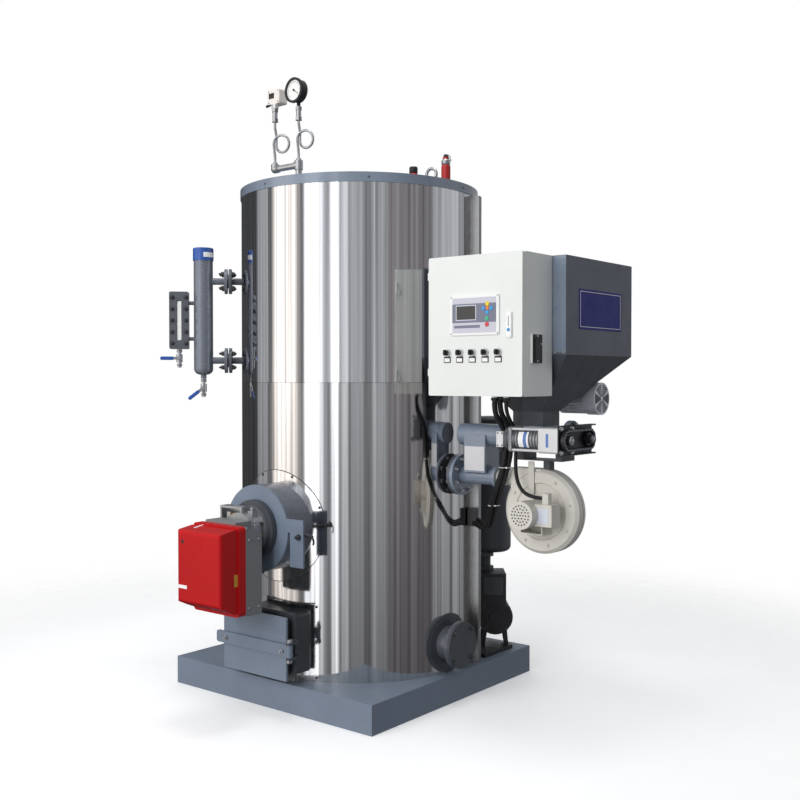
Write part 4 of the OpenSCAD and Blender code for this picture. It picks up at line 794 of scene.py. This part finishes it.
sign = Piece("hopper_sign", "blue_plate", bevel=0.0006)
sign.box(mm(1083.9, -48, 1460), mm(1085.4, 283, 1606))
sign.done()
sign_edge = Piece("sign_border", "white_plate")
for z in (1468, 1596):
    sign_edge.box(mm(1085.2, -40, z), mm(1085.8, 275, z + 2))
for y in (-40, 273):
    sign_edge.box(mm(1085.2, y, 1470), mm(1085.8, y + 2, 1596))
sign_edge.done()
# A front plate of lighter paint on the hopper: its lightness is painted light, standing for the bright walls
# the strip reflects.
lit_facing_plate = Piece("hopper_facing_painted_light", "grey_with_painted_highlight", bevel=0.0005)
lit_facing_plate.box(mm(1031, -141.2, 1374), mm(1083.5, -139.9, 1717))
for x in (1031, 1080.5):
    lit_facing_plate.box(mm(x, -142.4, 1386), mm(x + 3, -141, 1717))
lit_facing_plate.done()
hopper_screws = Piece("hopper_screws", "zinc")
for x in (1040, 1074):
    hopper_screws.bolt(mm(x, -140, 1376), FRONT, 0.010, 0.006)
hopper_screws.done()

# Screw drive

MOTOR_Y = -153
drive_bolts = Piece("drive_bolts", "zinc")
for y in (-188, -112):
    for z in (1020, 1104):
        drive_bolts.bolt(mm(1089, y, z), RIGHT, 0.013, 0.008)
for y in (MOTOR_Y, 0):
    drive_bolts.bolt(mm(1115, y, SCREW_Z), RIGHT, 0.014, 0.006)
drive_bolts.done()
rod_sleeves = Piece("tie_rods", "silver_plate")
for y in (-191, -115):
    for z in (1024, 1100):
        rod_sleeves.rod(mm(894.3, y, z), mm(1005.7, y, z), 0.0049)
rod_sleeves.done()


def motor_plate(piece, start, end, r):
    """A thin plate bent round the front of the gear motor."""
    arc = bent_strip(r, r - 0.0008, range(-40, 41, 10))
    piece.outline(mm(start, MOTOR_Y, SCREW_Z), X, FRONT, arc, (end - start) * MM)


motor_label = Piece("motor_label", "white_plate")
motor_plate(motor_label, 919, 961, 0.0427)
motor_label.done()
motor_stripe = Piece("motor_stripe", "label_blue")
motor_plate(motor_stripe, 940, 953, 0.0430)
motor_stripe.box(mm(1037, -199.7, 1038), mm(1047, -198.8, 1086))
motor_stripe.done()
Piece("hub_ring", "zinc").ring(mm(1115, MOTOR_Y, SCREW_Z), X, 0.0135, 0.0022, 40, 8).done()
box_screws = Piece("terminal_screws", "dark_bolt")
for x in (848, 866):
    for z in (1040, 1084):
        box_screws.screw(mm(x, -218, z), FRONT, 0.003)
box_screws.done()
Piece("drive_gland", "black_plastic").lathe(
    mm(856, -205, 1034), -Z,
    [(0.012, 0), (0.012, 0.008), (0.009, 0.010), (0.009, 0.018), (0.006, 0.020)], 24).done()


def chain_path(count):
    """Places along the chain's middle line, with the way it runs there, as (y, z) pairs."""
    r, y0, y1, z = 0.0345, MOTOR_Y * MM, 0.0, SCREW_Z * MM
    run, bend = y1 - y0, math.pi * r
    total = 2 * (run + bend)
    for k in range(count):
        d = total * k / count
        if d < run:
            yield (y0 + d, z + r), (1, 0)
        elif d < run + bend:
            a = math.pi / 2 - (d - run) / r
            yield (y1 + r * math.cos(a), z + r * math.sin(a)), (math.sin(a), -math.cos(a))
        elif d < 2 * run + bend:
            yield (y1 - (d - run - bend), z - r), (-1, 0)
        else:
            a = -math.pi / 2 - (d - 2 * run - bend) / r
            yield (y0 + r * math.cos(a), z + r * math.sin(a)), (math.sin(a), -math.cos(a))


chain_links = Piece("chain_links", "dark_bolt")
chain_pins = Piece("chain_pins", "zinc")
LINKS, LINK_HALF, CHAIN_X = 42, 0.0046, 1.1058
link = [(LINK_HALF * s, math.copysign(LINK_HALF + 0.0032 * abs(c), c)) for c, s in around(16, 11.25)]
for k, ((y, z), (dy, dz)) in enumerate(chain_path(LINKS)):
    along = Vector((0, dy, dz))
    chain_links.outline((CHAIN_X + 0.0012 * (k % 2), y, z), X, along, link, 0.0014)
    at = Vector((CHAIN_X, y, z)) + along * 0.0062
    chain_pins.rod(at, at + X * 0.0036, 0.0019, sides=10)
chain_links.done()
chain_pins.done()

# Blower, stirrer and pump

BLOWER_X, BLOWER_Z = 920, 786
STIRRER_END = mm(1017.6, 255, 1203)
PUMP_Z = 251
PUMP_TURN = math.radians(38)
PUMP_WAY = Vector((math.sin(PUMP_TURN), -math.cos(PUMP_TURN), 0))


def pump(side, back, z):
    """A place in the pump's own frame, whose front end is at the origin."""
    return mm(452.4, 369.7, z) + Z.cross(PUMP_WAY) * side * MM - PUMP_WAY * back * MM


Piece("blower_strap", "cream_paint", bevel=0.001).box(mm(870, -45, 850), mm(896, -40.2, 972)).done()
grille = Piece("motor_grilles", "black_plastic")
hole = [(0.0032, 0), (0.0032, 0.0004), (0.0022, 0.0006)]
for count, r in ((1, 0), (6, 12.5), (12, 24), (18, 35.5)):
    for c, s in around(count):
        grille.lathe(mm(BLOWER_X + r * c, -179.8, BLOWER_Z + r * s), FRONT, hole, 12)
for r in (53, 45, 37, 29, 21, 13):
    for start in (8, 68, 128, 188, 248, 308):
        grille.ring(STIRRER_END, X, r * MM, 0.0022, 10, 8, 44, start)
for r in (58, 42, 26):
    for start in (12, 102, 192, 282):
        grille.ring(pump(0, 0.2, PUMP_Z), PUMP_WAY, r * MM, 0.0028, 14, 8, 66, start)
grille.done()
Piece("blower_seam", "dark_bolt").ring(mm(BLOWER_X, 2.3, BLOWER_Z), FRONT, 0.1552, 0.0021, 96, 8).done()
Piece("blower_plate", "pale_label", bevel=0.0004).box(mm(966, -139.4, 756), mm(1014, -138.2, 812)).done()
blower_screws = Piece("blower_screws", "cream_paint")
for x in (960, 1021):
    for z in (751, 821):
        blower_screws.screw(mm(x, -138.5, z), FRONT, 0.0032)
for c, s in around(8, 15):
    at = mm(BLOWER_X + 128 * c, -40, BLOWER_Z + 128 * s)
    blower_screws.bolt(at, FRONT, 0.009, 0.006, washer=False)
blower_screws.done()
pump_bolts = Piece("pump_bolts", "dark_bolt")
for c, s in around(4, 45):
    pump_bolts.bolt(pump(69 * c, 0, PUMP_Z + 69 * s), PUMP_WAY, 0.010, 0.006)
for x in (-57, 41):
    for z in (338, 429):
        pump_bolts.screw(pump(x, 0, z), PUMP_WAY, 0.004)
pump_bolts.done()
Piece("pump_lid", "dark_bolt", bevel=0.001).outline(
    pump(-8, 0, 340), PUMP_WAY, Z,
    [(-0.043, 0.006), (0.043, 0.006), (0.043, 0.084), (-0.043, 0.084)], 0.003).done()

# Cable glands and ties

glands = Piece("cabinet_glands", "black_plastic", bevel=0.0008)
for at in (loom[0], loom[0] + LOOM_SHIFT, mm(*LEAD_ROUTE[0])):
    glands.rod(at + Z * 0.0002, at + Z * 0.010, 0.0145, sides=6)
glands.done()


def tie(piece, at, shift, r):
    """A strap drawn tight round two leads side by side."""
    way = shift.normalized()
    flat = Vector((way.x, way.y, 0)).normalized()
    across = Z.cross(flat)
    reach = flat * flat.dot(shift)
    points = []
    for k in range(24):
        a = 2 * math.pi * k / 24 - math.pi / 2
        end = at + (reach if math.cos(a) > 0 else Vector())
        points.append(end + (flat * math.cos(a) + across * math.sin(a)) * r)
    piece.wire(points, 0.0014, 8, closed=True)
    piece.slab(at + reach / 2 + across * -(r + 0.002), mm(6, 6, 5))


cable_ties = Piece("cable_ties", "white_plate")
for index in (8, 12):
    tie(cable_ties, loom[index], LOOM_SHIFT, 0.0128)
cable_ties.done()

# Cabinet door: operator panel, selectors and lock

DOOR_Y, PANEL_Y = -340.0, -346.0
LOCK_X = 975.5
HMI = {
    "hmi_face": ("lilac_plastic", (738, 924, 1443, 1567), 0.8),
    "hmi_band": ("slate_plastic", (738, 924, 1479, 1546), 1.3),
    "hmi_bezel": ("pale_label", (754, 841, 1487, 1541), 1.8),
    "hmi_screen": ("screen", (757, 838, 1490, 1538), 2.2),
    "hmi_strip": ("slate_plastic", (746, 857, 1460, 1470), 1.2),
}
for name, (look, (x0, x1, z0, z1), rise) in HMI.items():
    Piece(name, look, DOOR, bevel=0.0003).box(mm(x0, PANEL_Y - rise, z0), mm(x1, PANEL_Y + 0.4, z1)).done()

KEYS = {
    "key_up": ("yellow_key", 8, 3.2, [(889, 1543)]),
    "key_middle": ("orange_key", 6.5, 3.6, [(889, 1528)]),
    "key_ways": ("sky_key", 8, 3.2, [(872, 1527), (905, 1527), (888, 1513)]),
    "key_start": ("green_key", 8, 3.2, [(887, 1492)]),
    "key_stop": ("red_key", 8, 3.2, [(887, 1471)]),
}
for name, (look, r, rise, places) in KEYS.items():
    keys = Piece(name, look, DOOR)
    button = [(r * MM, 0), (r * MM, (rise - 0.8) * MM), ((r - 0.9) * MM, rise * MM)]
    for x, z in places:
        keys.lathe(mm(x, PANEL_Y - 0.4, z), FRONT, button, 24)
    keys.done()
panel_screws = Piece("panel_screws", "zinc", DOOR)
for x in (732, 930):
    for z in (1440, 1571):
        panel_screws.screw(mm(x, PANEL_Y, z), FRONT, 0.003)
panel_screws.done()

SELECTORS = [821 + 54.5 * k for k in range(-2, 3)]
bezels = Piece("selector_bezels", "silver_plate", DOOR)
holders = Piece("tag_holders", "black_plastic", DOOR, bevel=0.0006)
tags = Piece("selector_tags", "white_plate", DOOR)
bezel = [(0.0152, 0), (0.0152, 0.004), (0.0138, 0.0062), (0.0108, 0.0062)]
for x in SELECTORS:
    bezels.lathe(mm(x, DOOR_Y, 1374), FRONT, bezel, 36)
    holders.box(mm(x - 14.5, DOOR_Y - 2.6, 1338), mm(x + 14.5, DOOR_Y + 0.2, 1360))
    tags.box(mm(x - 11.5, DOOR_Y - 3.2, 1341), mm(x + 11.5, DOOR_Y - 2.4, 1354))
bezels.done()
holders.done()
tags.done()

lock = Piece("lock_plate", "white_plate", DOOR, bevel=0.0005)
lock_edge = [(0.0105 * c, 0.0105 * s + math.copysign(0.033, s)) for c, s in around(24, 7.5)]
lock.outline(mm(LOCK_X, PANEL_Y + 0.4, 1467), FRONT, Z, lock_edge, 0.0018)
lock.done()
Piece("lock_slot", "slate_plastic", DOOR).box(
    mm(LOCK_X - 1.3, PANEL_Y - 1.9, 1462), mm(LOCK_X + 1.3, PANEL_Y - 1.2, 1498)).done()
Piece("lock_key", "sky_key", DOOR).lathe(
    mm(LOCK_X, PANEL_Y - 1.2, 1450), FRONT, [(0.0062, 0), (0.0062, 0.0014), (0.005, 0.002)], 24).done()

side_plate = Piece("cabinet_socket", "black_plastic", bevel=0.0008)
side_plate.box(mm(1034.8, -286, 1335), mm(1036.2, -222, 1435))
side_plate.box(mm(1036, -272, 1349), mm(1040, -240, 1421))
side_plate.done()
plate_screws = Piece("socket_screws", "zinc")
for y, z in ((-254, 1428), (-229, 1401), (-254, 1342)):
    plate_screws.screw(mm(1036.2, y, z), RIGHT, 0.0045)
plate_screws.done()

# Studio: floor, world and lights

FLOOR_R = 3.6


def make_floor():
    """A pale floor that fades out before its edge."""
    piece = Piece("floor", "white_plate")
    piece.lathe((0, 0, -0.002), Z, [(FLOOR_R, 0), (FLOOR_R, 0.0015)], 96)
    made = piece.done()
    made.visible_glossy = made.visible_diffuse = False
    s = Shader("floor")
    s.colour(s.noise(scale=3.0), [(0.3, 0.94), (0.7, 0.97)])
    s.set(roughness=0.6, emission_color=(1, 1, 1, 1), emission_strength=0.2)
    flat = s.node("ShaderNodeVectorMath", operation="LENGTH")
    s.join(s.place, flat.inputs[0])
    fade = s.range(flat.outputs["Value"], 1.0, 0.0, FLOOR_R * 0.3, FLOOR_R * 0.95,
                   interpolation_type="SMOOTHSTEP")
    s.join(fade, s.out.inputs["Alpha"])
    made.data.materials[0] = s.material


# Walls by the direction they lie in, in degrees round the object, with how bright each is
WALLS = [
    (-166, 0.06), (-162, 0.4), (-149, 0.5), (-145, 0.14), (-142, 0.14), (-139, 1.3), (-127, 1.6),
    (-112, 1.45), (-110, 0.3), (-103, 0.26), (-101, 2.2), (-85.5, 2.2), (-83.5, 0.42), (-77, 0.4),
    (-75.5, 1.9), (-70, 1.8), (-68.5, 0.4), (-66, 0.36), (-64.5, 0.95), (-60.5, 0.9), (-58, 0.42),
    (-53, 0.45), (-40, 0.22), (-38, 0.5), (-25, 0.46), (-22, 0.26), (20, 0.2), (26, 0.4),
    (53, 0.54), (68, 0.38), (126, 0.4), (136, 0.06),
]
BRIGHTEST = max(value for _, value in WALLS)


def wall_tint(degrees):
    """Warm at the front left, a faint lilac on the hopper's side and cool elsewhere."""
    if -140 < degrees < -108:
        return 1, 0.94, 0.89
    if -23 < degrees < 21:
        return 0.97, 0.93, 0.98
    return 0.93, 0.955, 1


def make_world():
    """A white studio to look at; in reflections, tall soft boxes and darker walls round the object."""
    world = bpy.data.worlds.new("studio")
    bpy.context.scene.world = world
    world.use_nodes = True
    t = Tree(world.node_tree)
    split = t.node("ShaderNodeSeparateXYZ")
    t.join(t.node("ShaderNodeTexCoord").outputs["Generated"], split.inputs["Vector"])
    height = split.outputs["Z"]
    angle = t.math("ARCTAN2", split.outputs["Y"], split.outputs["X"])
    stops = [((d + 180) / 360, shade(wall_tint(d), value / BRIGHTEST)) for d, value in WALLS]
    walls = t.ramp(t.range(angle, 0.0, 1.0, -math.pi, math.pi), stops)
    bars = t.node("ShaderNodeTexNoise", noise_dimensions="1D")
    bars.inputs["Scale"].default_value = 15.0
    bars.inputs["Detail"].default_value = 4.0
    t.join(angle, bars.inputs["W"])
    bar = t.range(bars.outputs["Fac"], 0.6, 1.4, 0.36, 0.64)
    low = t.range(height, 0.5, 1.0, -0.28, -0.02)
    lit = t.node("ShaderNodeVectorMath", operation="SCALE")
    t.join(walls, lit.inputs[0])
    t.join(t.math("MULTIPLY", low, bar), lit.inputs["Scale"])
    sky = t.range(height, 0.0, 1.0, 0.25, 0.75, interpolation_type="SMOOTHSTEP")
    room = t.mix(sky, lit.outputs["Vector"], (0.28, 0.285, 0.29))
    seen = t.node("ShaderNodeLightPath").outputs["Is Camera Ray"]
    back = t.tree.nodes["Background"]
    t.join(t.mix(seen, room, (1.0 / BRIGHTEST,) * 3), back.inputs["Color"])
    back.inputs["Strength"].default_value = BRIGHTEST


def soft_box(name, at, aim, size, power, mirrored=False):
    """An area light turned to a point; only a mirrored one shows in reflections."""
    data = bpy.data.lights.new(name, "AREA")
    data.shape = "RECTANGLE"
    data.size, data.size_y = size
    data.energy = power
    made = bpy.data.objects.new(name, data)
    bpy.context.scene.collection.objects.link(made)
    made.location = at
    made.rotation_euler = (Vector(aim) - Vector(at)).to_track_quat("-Z", "Y").to_euler()
    made.visible_glossy = mirrored


make_floor()
make_world()
soft_box("key", (-0.6, -4.6, 3.2), (0.1, 0, 1.1), (2.2, 2.6), 70)
soft_box("fill", (1.35, -4.6, 2.0), (0.9, 0, 1.2), (0.9, 2.0), 40)
soft_box("top", (0.4, -0.4, 5.2), (0.3, 0, 0), (1.0, 1.0), 40, True)
soft_box("rear", (-2.8, 3.2, 3.0), (0, 0, 1.2), (2.0, 2.6), 25)

view = bpy.context.scene.view_settings
view.view_transform = "Standard"
view.look = "None"
